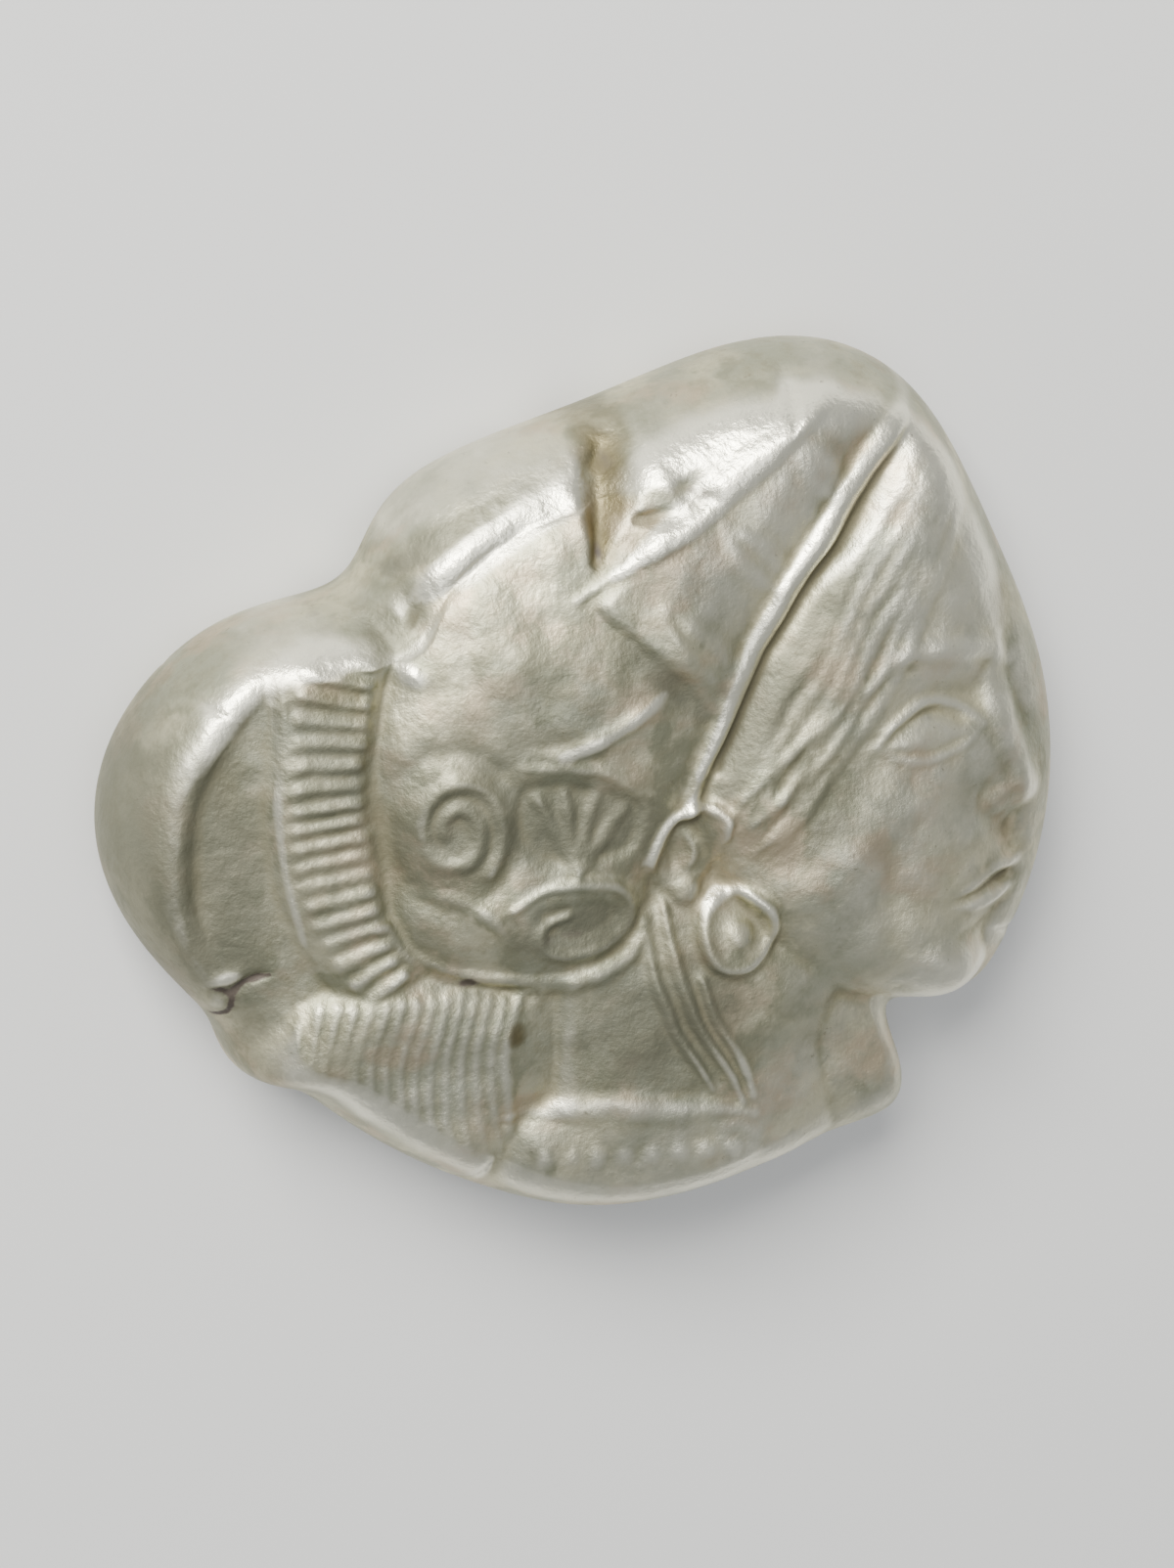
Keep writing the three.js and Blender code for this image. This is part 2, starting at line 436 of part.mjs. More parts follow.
// A face starts as a lattice of points over a round disc. The disc is stretched to the flan's outline,
// and its last tenth turns round the edge.
function place(u, v, height, rounding) {
  const angle = Math.atan2(v, u);
  const share = Math.min(1, Math.hypot(u, v));
  const radius = flanRadius(angle);
  const inner = 1 - EDGE_SHARE;
  let depth = rounding * (1 - Math.sin((share - inner) / EDGE_SHARE * Math.PI / 2));
  if (share < inner) {
    const level = share / inner;
    depth = radius - level * (FLAN_RADIUS + (radius - rounding - FLAN_RADIUS) * level * level);
  }
  depth = Math.max(0, depth);
  const reach = radius - depth;
  const [x, y] = [reach * Math.cos(angle), reach * Math.sin(angle)];
  if (depth < SOFTNESS) return [x, y, height(x, y, depth)];
  // Heights are evened out a little, so that no detail is finer than the facets.
  const around = [0, 60, 120, 180, 240, 300].map((turn) => {
    const [px, py] = [x + SOFTNESS * Math.cos(radians(turn)), y + SOFTNESS * Math.sin(radians(turn))];
    const gap = flanRadius(Math.atan2(py, px)) - Math.hypot(px, py);
    return height(px, py, Math.max(0, gap - (radius - Math.hypot(x, y) - depth)));
  });
  return [x, y, (height(x, y, depth) + around.reduce((total, z) => total + z, 0)) / 7];
}
function layFace(height, rounding, firsts) {
  const lay = (u, v, first) => ({ u, v, at: place(u, v, height, rounding), first });
  const points = [];
  for (let k = 0; k < RIM_POINTS; k++) {
    const angle = 2 * Math.PI * k / RIM_POINTS;
    points.push(lay(Math.cos(angle), Math.sin(angle), false));
  }
  for (const [u, v] of firsts) points.push(lay(u, v, true));
  const rows = Math.ceil(1 / (0.866 * LATTICE));
  for (let j = -rows; j <= rows; j++) {
    for (let i = -rows * 2; i <= rows * 2; i++) {
      // The tiny sway keeps any four points off one circle.
      const u = (i + (j & 1) / 2) * LATTICE + 0.02 * LATTICE * Math.sin(12.9 * i + 78.2 * j);
      const v = j * LATTICE * 0.866 + 0.02 * LATTICE * Math.sin(39.4 * i + 11.1 * j);
      const crowded = firsts.some(([a, b]) => Math.hypot(a - u, b - v) <= LATTICE / 2);
      if (Math.hypot(u, v) < 1 - LATTICE && !crowded) points.push(lay(u, v, false));
    }
  }
  return points;
}

// A net over the points: it starts as a fan, and takes in the point that lies furthest off it again and
// again.
const turnOf = (a, b, c) => (b.u - a.u) * (c.v - a.v) - (b.v - a.v) * (c.u - a.u);
function inCircle({ corners: [a, b, c] }, p) {
  const [ax, ay, bx, by, cx, cy] = [a.u - p.u, a.v - p.v, b.u - p.u, b.v - p.v, c.u - p.u, c.v - p.v];
  const [aa, bb, cc] = [ax * ax + ay * ay, bx * bx + by * by, cx * cx + cy * cy];
  return ax * (by * cc - bb * cy) - ay * (bx * cc - bb * cx) + aa * (bx * cy - by * cx) > 0;
}
function hold(triangle, points, weight) {
  const [a, b, c] = triangle.corners.map((corner) => corner.at);
  const [p, q] = [b.map((value, n) => value - a[n]), c.map((value, n) => value - a[n])];
  const normal = [p[1] * q[2] - p[2] * q[1], p[2] * q[0] - p[0] * q[2], p[0] * q[1] - p[1] * q[0]];
  const length = Math.hypot(...normal) + 1e-9;
  triangle.points = points;
  triangle.error = 0;
  for (const point of points) {
    const off = point.at.reduce((total, value, n) => total + (value - a[n]) * normal[n], 0) / length;
    const error = Math.abs(off) * weight(point.at) + (point.first ? 1 : 0);
    if (error > triangle.error) {
      triangle.error = error;
      triangle.worst = point;
    }
  }
}
function startNet(points, weight) {
  const nearer = (best, p) => (Math.hypot(p.u, p.v) < Math.hypot(best.u, best.v) ? p : best);
  const middle = points.slice(RIM_POINTS).reduce(nearer);
  const fan = [];
  for (let k = 0; k < RIM_POINTS; k++) {
    fan.push({ corners: [points[k], points[(k + 1) % RIM_POINTS], middle], beside: [null, null, null] });
  }
  fan.forEach((triangle, k) => {
    triangle.beside[1] = fan[(k + 1) % RIM_POINTS];
    triangle.beside[2] = fan[(k + RIM_POINTS - 1) % RIM_POINTS];
  });
  share(fan, points.slice(RIM_POINTS).filter((p) => p !== middle), weight);
  return { triangles: new Set(fan), weight };
}
function share(triangles, points, weight) {
  const lists = new Map(triangles.map((triangle) => [triangle, []]));
  for (const point of points) {
    let [best, most] = [triangles[0], -Infinity];
    for (const triangle of triangles) {
      const [a, b, c] = triangle.corners;
      const least = Math.min(turnOf(a, b, point), turnOf(b, c, point), turnOf(c, a, point));
      if (least > most) [best, most] = [triangle, least];
    }
    lists.get(best).push(point);
  }
  for (const [triangle, list] of lists) hold(triangle, list, weight);
}
function takeIn(net, first) {
  const point = first.worst;
  const cavity = new Set([first]);
  for (const triangle of cavity) {
    for (const next of triangle.beside) {
      if (next && !cavity.has(next) && inCircle(next, point)) cavity.add(next);
    }
  }
  const fresh = [];
  const loose = [];
  for (const triangle of cavity) {
    loose.push(...triangle.points.filter((p) => p !== point));
    net.triangles.delete(triangle);
    triangle.beside.forEach((next, n) => {
      if (next && cavity.has(next)) return;
      const [from, to] = [triangle.corners[n], triangle.corners[(n + 1) % 3]];
      const made = { corners: [from, to, point], beside: [next, null, null] };
      if (next) next.beside[next.beside.indexOf(triangle)] = made;
      fresh.push(made);
    });
  }
  const startingAt = new Map(fresh.map((triangle) => [triangle.corners[0], triangle]));
  for (const triangle of fresh) {
    const mate = startingAt.get(triangle.corners[1]);
    triangle.beside[1] = mate;
    mate.beside[2] = triangle;
    net.triangles.add(triangle);
  }
  share(fresh, loose, net.weight);
}

// The flat border of the back gets points along both its edges first, so that its facets lie in one plane.
function toDisc(x, y) {
  const angle = Math.atan2(y, x);
  const stretch = flanRadius(angle) - BACK_ROUNDING - FLAN_RADIUS;
  let [low, high] = [0, 1.2];
  for (let k = 0; k < 30; k++) {
    const level = (low + high) / 2;
    if (level * (FLAN_RADIUS + stretch * level * level) < Math.hypot(x, y)) low = level;
    else high = level;
  }
  return [low * (1 - EDGE_SHARE) * Math.cos(angle), low * (1 - EDGE_SHARE) * Math.sin(angle)];
}
const FLAT_SHARE = 0.99 - EDGE_SHARE;
const borderPoints = [];
for (let k = 0; k < BORDER_POINTS; k++) {
  const angle = 2 * Math.PI * k / BORDER_POINTS;
  borderPoints.push([FLAT_SHARE * Math.cos(angle), FLAT_SHARE * Math.sin(angle)]);
}
const halfSide = SQUARE_SIDE / 2 + SOFTNESS;
for (let k = 0; k < SQUARE_POINTS; k++) {
  const t = halfSide * (2 * k / SQUARE_POINTS - 1);
  for (const [p, q] of [[t, -halfSide], [halfSide, t], [-t, halfSide], [-halfSide, -t]]) {
    const [c, s] = [Math.cos(radians(SQUARE_TURN)), Math.sin(radians(SQUARE_TURN))];
    const point = toDisc(SQUARE_CENTRE[0] + p * c - q * s, SQUARE_CENTRE[1] + p * s + q * c);
    if (Math.hypot(...point) < FLAT_SHARE - LATTICE) borderPoints.push(point);
  }
}

const nets = [
  startNet(layFace(headSide, HEAD_SIDE_ROUNDING, []), ([x, y]) => (x > 5.5 && y < 3.5 && y > -7.5 ? 1.7 : 1)),
  startNet(layFace(backSide, BACK_ROUNDING, borderPoints), () => 0.55),
];
for (let count = 2 * RIM_POINTS; count + 2 <= FACETS; count += 2) {
  let [worst, where] = [null, null];
  for (const net of nets) {
    for (const triangle of net.triangles) {
      if (!worst || triangle.error > worst.error) [worst, where] = [triangle, net];
    }
  }
  takeIn(where, worst);
}

const corners = [];
nets.forEach((net, n) => {
  for (const { corners: [a, b, c] } of net.triangles) {
    for (const point of n === 0 ? [a, b, c] : [a, c, b]) corners.push(...point.at);
  }
});

const geometry = new THREE.BufferGeometry();
geometry.setAttribute('position', new THREE.Float32BufferAttribute(corners, 3));
geometry.computeVertexNormals();
const silver = new THREE.MeshStandardMaterial({ color: 0xb7b19c, roughness: 0.42, metalness: 0.9 });
const coin = new THREE.Mesh(geometry, silver);
coin.name = 'coin';

const part = new THREE.Group();
part.name = 'tetradrachm_coin';
part.add(coin);
export default part;
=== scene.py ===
"""An ancient silver coin, struck by hand on a ragged flan, lying on its back on a pale floor."""

import math

import bpy
import numpy as np
from mathutils import Matrix, Vector


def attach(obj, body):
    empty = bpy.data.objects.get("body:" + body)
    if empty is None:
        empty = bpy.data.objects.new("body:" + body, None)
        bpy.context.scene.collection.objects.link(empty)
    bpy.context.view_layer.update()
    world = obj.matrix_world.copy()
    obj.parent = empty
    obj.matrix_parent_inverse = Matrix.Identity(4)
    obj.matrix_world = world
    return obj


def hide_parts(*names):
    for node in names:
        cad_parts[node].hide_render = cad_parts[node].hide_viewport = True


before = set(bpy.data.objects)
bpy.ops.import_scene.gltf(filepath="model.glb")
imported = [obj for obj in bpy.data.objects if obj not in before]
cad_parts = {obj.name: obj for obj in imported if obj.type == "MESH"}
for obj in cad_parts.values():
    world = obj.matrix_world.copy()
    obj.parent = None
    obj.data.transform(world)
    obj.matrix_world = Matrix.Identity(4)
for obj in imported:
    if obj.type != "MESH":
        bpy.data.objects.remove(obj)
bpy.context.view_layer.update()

# Sizes are in millimetres and degrees, as the coin's maker would read them, and become metres at the end.
# Seen from the head side, X runs to the viewer's right, Y up the head, and Z out of it.
MM = 0.001

# Camera: it looks down on the head side from the upper left, and spans FRAME_WIDTH at VIEW_DISTANCE.
VIEW_RIGHT = Vector((0.9466, -0.0151, 0.3223))
VIEW_UP = Vector((0.1275, 0.9351, -0.3307))
VIEW_BACK = Vector((-0.2963, 0.3541, 0.8871))
VIEW_DISTANCE = 87.0
VIEW_CENTRE = Vector((-0.6, 0.95, 3.6))
FRAME_WIDTH = 28.0

# The flan's outline is a circle with swells and dents: at an angle, outwards, over an angle.
FLAN_RADIUS = 9.7
SWELLS = [(57, 1.92, 21), (351, 2.43, 79), (320, -2.2, 6), (313, 0.8, 9), (269, 0.31, 16), (211, 0.57, 6),
          (175, 2.44, 27), (135, -1.27, 12), (97, -0.69, 42)]

# Heights above the floor, how far in each face rounds over from the edge, and how far in the relief fades.
EDGE_MIDDLE = 2.0
FIELD_AT_RIM = 3.9
FIELD_AT_CENTRE = 4.65
HEAD_SIDE_ROUNDING = 1.45
BACK_ROUNDING = 0.95
RELIEF_FADE = 0.9

# The head's die struck off the flan's middle, and the head is drawn round HEAD_DRAWN_AT. The die struck
# what lies inside STRUCK, and a lip of metal was left outside it on the left.
HEAD_DRAWN_AT = (-0.6, 1.15)
LIP_HEIGHT = 0.45

# A raised line has thin feet, so it is drawn wider than it reads.
LINE_WIDER = 1.15

# How far the hand-cut lines stray, what share of its drawn height the relief has and how uneven that is, how
# far the field rolls and how rough it is. A SIZE is that of the patches.
LINE_STRAY = 0.13
LINE_STRAY_SIZE = 1.7
RELIEF_SHARE = 0.95
RELIEF_UNEVEN = 0.25
RELIEF_UNEVEN_SIZE = 2.2
FIELD_ROLL = 0.06
FIELD_ROLL_SIZE = 2.6
FIELD_ROUGH = 0.03
FIELD_ROUGH_SIZE = 0.6

# The sunk square of the back, how wide a square its figures are drawn for, and how high they may stand.
SQUARE_CENTRE = (0.6, -0.8)
SQUARE_SIDE = 13.4
SQUARE_TURN = -20
SQUARE_DRAWN = 14.8
SQUARE_DEPTH = 1.05
SQUARE_SLOPE = 0.7
FIGURES_HIGHEST = 0.92

# The mesh: cells along a side of each face's grid, the share of it that turns round the edge, and the
# number of facets that the finished piece keeps. The grid is turned so that its diagonals miss the outline's
# dents, and evened in its own plane so that they leave no crease.
GRID_CELLS = 320
GRID_TURN = 22
GRID_PASSES = 200
EDGE_SHARE = 0.1
FACETS = 192000

# Wear: how often the heights are evened out to tell what stands proud, how much of that is kept on each
# face, and how often the worn face is evened out again. The hollows are coloured darker and painted shade
# lies in the wider basins, both found by evening out again. The last is the share of the rubbing and of the
# painted highlights that reaches the rim.
WEAR_PASSES = 14
HEAD_SIDE_KEPT = 0.4
BACK_KEPT = 0.8
SOFTENING_PASSES = 6
HOLLOW_PASSES = 12
BASIN_PASSES = 160
RIM_POLISH_AND_HIGHLIGHT = 0.25

# Two lights: where from, how far off, how wide, how strong in watts and of what colour. Then the room's own
# light, and the floor.
WINDOW = ((-0.42, 0.72, 0.66), 260, 125, 1.4, (1.0, 0.985, 0.94))
CEILING = ((-0.1, 0.1, 1.0), 340, 240, 0.35, (0.97, 0.98, 1.0))
ROOM_COLOUR = (0.94, 0.97, 1.0, 1.0)
ROOM_STRENGTH = 0.42
FLOOR_WIDTH = 1200

# Outlines of the head's large forms, drawn round HEAD_DRAWN_AT.
BOWL = [(2.2, -0.4), (2.9, 1.2), (4.1, 3.6), (6.2, 6.6), (8.3, 9.2), (7.8, 10.8), (4.6, 10.8), (2.2, 9.4),
        (0.1, 7.5), (-1.9, 6.4), (-3.4, 5.4), (-4.5, 4.2), (-5.3, 2.6), (-5.6, 0.9), (-5.5, -1.2),
        (-5.1, -3.0), (-4.0, -4.2), (-2.0, -4.8), (0.1, -4.5), (1.0, -3.4), (1.4, -1.9)]
PROFILE = [(8.6, 9.6), (10, 8.0), (10.5, 6.4), (10.75, 4.8), (10.75, 3.4), (10.6, 2.4), (10.5, 1.7),
           (10.9, 0.9), (11.25, -0.2), (11.75, -1.2), (11.75, -1.7), (11.5, -2.0), (10.9, -2.2),
           (10.6, -2.5), (10.75, -3.0), (11.1, -3.4), (11, -3.7), (10.6, -3.8), (10.9, -4.1), (10.9, -4.4),
           (10.5, -4.8), (10.25, -5.1), (10.25, -5.6), (10.4, -6.1), (10.1, -6.6), (9.5, -7.0), (8.5, -7.1),
           (7.25, -6.7), (6.1, -6.2), (5.1, -5.6), (4.4, -4.9), (3.9, -4.2), (3.2, -3.0)]
FACE_BACK = [(2.4, -1.6), (2.2, -0.4), (2.9, 1.2), (4.1, 3.6), (6.2, 6.6), (8.0, 9.2)]
NECK = [(-1.3, -3.6), (-1.3, -5.5), (-1.2, -6.9), (-1.4, -7.8), (-2.4, -8.3), (-2.8, -9.6), (-2.4, -11.4),
        (1.5, -12.2), (5.6, -11.6), (6.3, -10.4), (6.1, -9.0), (5.8, -7.8), (5.9, -6.7), (6.4, -5.2),
        (3.0, -3.0)]
HAIR_BUNCH = [(-1.3, -4.5), (-1.3, -7.4), (-2.1, -8.4), (-2.7, -9.6), (-3.2, -11.5), (-7.5, -11.5),
              (-9.5, -7.5), (-8.0, -5.2), (-6.6, -4.1), (-4.6, -4.0), (-2.6, -4.7)]
FRONT_BAND = [(-0.3, 5.0), (2.4, 6.9), (6.2, 9.6), (8.1, 9.3), (6.2, 6.6), (4.1, 3.6), (2.7, 1.5), (1.7, 2.6),
              (0.6, 3.8)]
BUST = [(-2.7, -8.1), (-0.3, -8.2), (2.7, -8.6), (3.9, -9.0), (4.2, -9.8), (3.4, -10.9), (0.3, -11.4),
        (-2.1, -10.7), (-2.9, -9.4)]
EAR = [(1.4, -2.7), (1.1, -1.7), (1.6, -0.9), (2.3, -0.5), (3.0, -0.9), (3.1, -1.6), (2.8, -2.4), (2.3, -3.1),
       (1.7, -3.2)]
EYE = [(6.8, 0.4), (7.5, 0.9), (8.25, 1.1), (9, 0.9), (9.75, 0.4), (9.1, 0.1), (8.25, 0.0), (7.5, 0.1)]
PALMETTE = [(-2.3, 0.75), (-0.6, 0.6), (0.8, 0.0), (0.8, -1.2), (-0.1, -1.6), (-2.2, -1.3)]

# The crest's inner and outer edges, and the two swells and the dip along its shoulder.
HOLDER = [(1.2, 8.3), (-0.6, 7.25), (-2.2, 6.3), (-3.9, 5.1), (-4.9, 3.6), (-5.4, 1.8), (-5.5, 0.2),
          (-5.35, -1.6), (-5.0, -3.0), (-4.4, -4.1)]
COMB = [(0.4, 9.5), (-2.6, 8.3), (-4.9, 6.9), (-6.5, 5.4), (-7.4, 3.8), (-7.75, 1.2), (-7.75, -0.9),
        (-7.45, -2.6), (-6.5, -4.3), (-5.6, -5.2)]
SHOULDER_INNER = [(-4.5, 4.7), (-3.4, 5.6), (-2.3, 6.3), (-1.4, 6.8), (-0.3, 7.35)]
SHOULDER_DIP = [(-4.6, 5.5), (-3.7, 6.15), (-2.6, 6.75), (-1.5, 7.2), (-0.4, 7.6)]
SHOULDER_OUTER = [(-4.3, 6.4), (-3.2, 7.2), (-1.9, 7.6), (-0.5, 7.95)]

# The edge of what the die struck, in the flan's own places.
STRUCK = [(-8.4, 4.5), (-9.15, 3.8), (-9.75, 2.9), (-10.2, 1.9), (-10.4, 0.6), (-10.4, -0.6), (-10.2, -1.6),
          (-9.6, -3.0), (-8.0, -5.5), (0.0, -10.5), (10.5, -6.0), (11.5, 3.0), (6.0, 10.5), (-3.0, 9.0)]

# The bristles' pitch, the centres of the earring and the scroll, and how much taller than wide the scroll is.
BRISTLE_PITCH = 0.44
EARRING = (3.25, -3.9)
SCROLL = (-3.78, -0.28)
SCROLL_TALLER = 1.28

# The three arms of the crack at the lower left.
LOBE_CRACK_LEFT = [(-9.5, -3.95), (-9.2, -3.95), (-8.97, -4.15)]
LOBE_CRACK_RIGHT = [(-8.97, -4.15), (-8.7, -3.8), (-8.1, -3.67)]
LOBE_CRACK_DOWN = [(-8.97, -4.15), (-9.02, -4.6), (-9.3, -4.85)]

# Bright flecks that stand up near the rim: place, radii and turn.
FLECKS = [((-4.5, 6.2), (0.55, 0.3), 40), ((-5.85, 5.3), (0.45, 0.26), 35), ((-5.1, 4.9), (0.5, 0.22), 5),
          ((-4.6, 3.45), (0.4, 0.24), -30), ((-6.9, 4.0), (0.6, 0.35), 15), ((-9.1, -3.65), (0.26, 0.2), 0),
          ((-9.45, -4.45), (0.26, 0.2), 40)]


def ease(t):
    """A smooth step: 0 up to 0, 1 from 1 on."""
    t = np.clip(t, 0, 1)
    return t * t * (3 - 2 * t)


def blend(a, b, softness):
    """The higher of two heights, rounded where they meet."""
    return 0.5 * (a + b + np.sqrt((a - b) ** 2 + softness ** 2))


def mottle(x, y, size, seed):
    """Cloudy variation from -1 to 1 whose patches measure about size."""
    lattice = np.random.default_rng(seed).uniform(-1, 1, (97, 97))
    u, v = x / size + 48, y / size + 48
    i, j = np.floor(u).astype(int) % 96, np.floor(v).astype(int) % 96
    s, t = ease(u - np.floor(u)), ease(v - np.floor(v))
    low = lattice[i, j] * (1 - s) + lattice[i + 1, j] * s
    high = lattice[i, j + 1] * (1 - s) + lattice[i + 1, j + 1] * s
    return low * (1 - t) + high * t


def rough(x, y, size, seed):
    """Mottle of three sizes, each half of the one before."""
    return sum(mottle(x, y, size / 2 ** k, seed + k) / 2 ** k for k in range(3)) / 1.75


def puff(depth, over, height):
    """Height of a form that swells from its outline to its full height."""
    return height * (1 - (1 - np.clip(depth / over, 0, 1)) ** 2) ** 0.6


def smooth(points, closed=False, step=0.16):
    """A smooth line through a few points, as short straight steps."""
    p = np.array(points, float)
    ends = (p[-1:], p[:2]) if closed else (p[:1], p[-1:])
    p = np.vstack([ends[0], p, ends[1]])
    path = []
    for a, b, c, d in zip(p[:-3], p[1:-2], p[2:-1], p[3:]):
        count = max(2, math.ceil(math.dist(b, c) / step))
        t = np.arange(count)[:, None] / count
        path.append(0.5 * (2 * b + (c - a) * t + (2 * a - 5 * b + 4 * c - d) * t ** 2
                           + (3 * b - a - 3 * c + d) * t ** 3))
    path.append(path[0][:1] if closed else p[-2:-1])
    return np.vstack(path)


def flan_radius(angle):
    """How far the flan reaches at an angle."""
    radius = np.full_like(angle, FLAN_RADIUS)
    for at, out, over in SWELLS:
        away = (np.degrees(angle) - at + 540) % 360 - 180
        radius = radius + out * np.exp(-(away / over) ** 2)
    return radius


class Die:
    """The points of one face, and the cuts and forms that a die gives them, each as heights at the points."""

    def __init__(self, x, y):
        self.x = x
        self.y = y

    def blank(self, value=0.0):
        return np.full_like(self.x, value)

    def near(self, path, reach):
        low, high = path.min(0) - reach, path.max(0) + reach
        within = (self.x > low[0]) & (self.x < high[0]) & (self.y > low[1]) & (self.y < high[1])
        return np.nonzero(within)[0]

    def along(self, path, reach):
        """Which points lie near a path, how far from it and at what share of its length."""
        at = self.near(path, reach)
        x, y = self.x[at], self.y[at]
        best, share = np.full(len(at), 1e9), np.zeros(len(at))
        steps = np.diff(path, axis=0)
        lengths = np.hypot(*steps.T)
        run = np.concatenate([[0], np.cumsum(lengths)])
        for (ax, ay), (dx, dy), length, start in zip(path, steps, lengths, run):
            t = np.clip(((x - ax) * dx + (y - ay) * dy) / (length ** 2 + 1e-12), 0, 1)
            away = (x - ax - t * dx) ** 2 + (y - ay - t * dy) ** 2
            closer = away < best
            best[closer] = away[closer]
            share[closer] = ((start + t * length) / run[-1])[closer]
        return at, np.sqrt(best), share

    def ridge(self, points, width, height, ends=(1, 1), roundness=1.0):
        """A raised line of that full width, thinner at its two ends."""
        width = LINE_WIDER * width
        at, away, share = self.along(smooth(points), width / 2)
        start = ends[0] + (1 - ends[0]) * ease(share * 3)
        end = ends[1] + (1 - ends[1]) * ease(3 - share * 3)
        half = width / 2 * start * end
        heights = self.blank()
        body = np.clip(1 - (away / half) ** 2, 0, 1) ** (roundness + 0.5)
        heights[at] = height * body * np.minimum(1, 2 * half / width + 0.2)
        return heights

    def ridges(self, lines):
        """Raised lines of one kind side by side, the higher one showing where two meet."""
        heights = self.blank()
        for line in lines:
            heights = np.maximum(heights, self.ridge(*line))
        return heights

    def oval(self, centre, radii, turn=0):
        """How far out each point lies in an oval, squared: 0 at its centre and 1 on its edge."""
        c, s = math.cos(math.radians(turn)), math.sin(math.radians(turn))
        dx, dy = self.x - centre[0], self.y - centre[1]
        return ((dx * c + dy * s) / radii[0]) ** 2 + ((dy * c - dx * s) / radii[1]) ** 2

    def boss(self, centre, radii, height, turn=0, roundness=0.7):
        return height * np.clip(1 - self.oval(centre, radii, turn), 0, 1) ** roundness

    def rise(self, centre, radii, height, turn=0):
        return height * np.exp(-self.oval(centre, radii, turn))

    def ring(self, centre, radius, width, height):
        away = np.hypot(self.x - centre[0], self.y - centre[1]) - radius
        return height * np.clip(1 - (2 * away / width) ** 2, 0, 1)

    def inside(self, path, reach=4.0):
        """Distance inside a closed outline, negative outside it."""
        at, away, _ = self.along(path, reach)
        depth = self.blank(reach)
        depth[at] = away
        within = np.zeros(len(self.x), bool)
        box = self.near(path, 0)
        x, y = self.x[box], self.y[box]
        crossings = np.zeros(len(box), bool)
        for (ax, ay), (bx, by) in zip(path[:-1], path[1:]):
            if ay != by:
                crossings ^= ((ay > y) != (by > y)) & (x < ax + (y - ay) / (by - ay) * (bx - ax))
        within[box] = crossings
        return np.where(within, depth, -depth)

    def outline(self, points, reach=4.0):
        return self.inside(smooth(points, closed=True), reach)


# The camera comes first.
def set_camera():
    data = bpy.data.cameras.new("camera")
    camera = bpy.data.objects.new("camera", data)
    bpy.context.collection.objects.link(camera)
    data.sensor_fit = "HORIZONTAL"
    data.lens = data.sensor_width * VIEW_DISTANCE / FRAME_WIDTH
    data.clip_start = 0.001
    turned = Matrix((VIEW_RIGHT, VIEW_UP, VIEW_BACK)).transposed().to_4x4()
    camera.matrix_world = Matrix.Translation((VIEW_CENTRE + VIEW_BACK * VIEW_DISTANCE) * MM) @ turned
    bpy.context.scene.camera = camera


# Forms of the head side.
def crest(die):
    """The horsehair crest: a raised band with a ridge along each edge, upright bristles between them, two
    swells along its shoulder, and the hair's low swell beyond it."""
    inner = smooth(HOLDER)
    depth = die.inside(np.vstack([inner, smooth(COMB)[::-1], inner[:1]]), 3.0)
    shoulder = ease((die.y - 4.0) / 1.4)
    edges = die.ridge(HOLDER, 0.34, 0.12, (0.6, 0.5)) + die.ridge(COMB, 0.36, 0.26, (0.6, 0.5))
    edges = edges * (1 - shoulder) + die.ridge(SHOULDER_INNER, 0.95, 0.26, (0.4, 0.8))
    edges = edges + die.ridge(SHOULDER_OUTER, 0.95, 0.24, (0.4, 0.8))
    edges = edges - die.ridge(SHOULDER_DIP, 0.7, 0.24, (0.4, 0.6))
    at, away, share = die.along(inner, 3.0)
    count = round(np.hypot(*np.diff(inner, axis=0).T).sum() / BRISTLE_PITCH)
    bristles = die.blank()
    bristles[at] = (0.5 + 0.5 * np.cos(2 * math.pi * share * count)) * ease((away - 0.1) / 0.15)
    shown = ease((4.6 - die.y) / 1.2) * ease((die.y + 4.9) / 0.8) * (die.x < 0)
    bristles = bristles * (0.16 + 0.08 * rough(die.x, die.y, 1.3, 101))
    height = puff(depth, 0.5 + 0.7 * shoulder, 0.45) + edges + bristles * ease((depth - 0.22) / 0.15) * shown
    plume = 0.14 * ease((die.x + 9.9) / 0.6) * ease((-7.0 - die.x) / 0.8)
    return height + plume * ease((die.y + 4.5) / 2) * ease((4.6 - die.y) / 2)


def flesh(die):
    """Modelling of the cheek, brow, eye socket, chin and jaw."""
    return (die.rise((6.9, -2.2), (2.4, 2.2), 0.42)
            + die.rise((8.5, 4.9), (1.5, 2.2), 0.2)
            - die.rise((9.05, 1.05), (1.5, 1.0), 0.36, 10)
            + die.rise((9.1, -5.9), (1.0, 0.9), 0.24)
            - die.rise((9.9, -5.0), (0.8, 0.32), 0.14)
            + die.rise((5.0, -3.6), (1.6, 1.8), 0.1))


def eye(die):
    upper_lid = die.ridge([(6.75, 0.4), (7.3, 1.0), (8.2, 1.3), (9.1, 1.05), (9.9, 0.45)],
                          0.32, 0.24, (0.5, 0.5))
    lower_lid = die.ridge([(6.8, 0.4), (7.5, 0.05), (8.3, -0.1), (9.2, 0.05), (9.8, 0.4)],
                          0.26, 0.14, (0.5, 0.5))
    almond = die.outline(EYE, 1.0)
    ball = 0.2 * ease(almond / 0.45) + die.rise((8.3, 0.55), (0.8, 0.5), 0.1) * ease(almond / 0.2)
    brow = die.ridge([(6.5, 1.9), (7.4, 2.5), (8.6, 2.65), (9.9, 2.4), (10.6, 1.9)],
                     0.8, 0.16, (0.4, 0.7), 1.5)
    return upper_lid + lower_lid + ball + brow


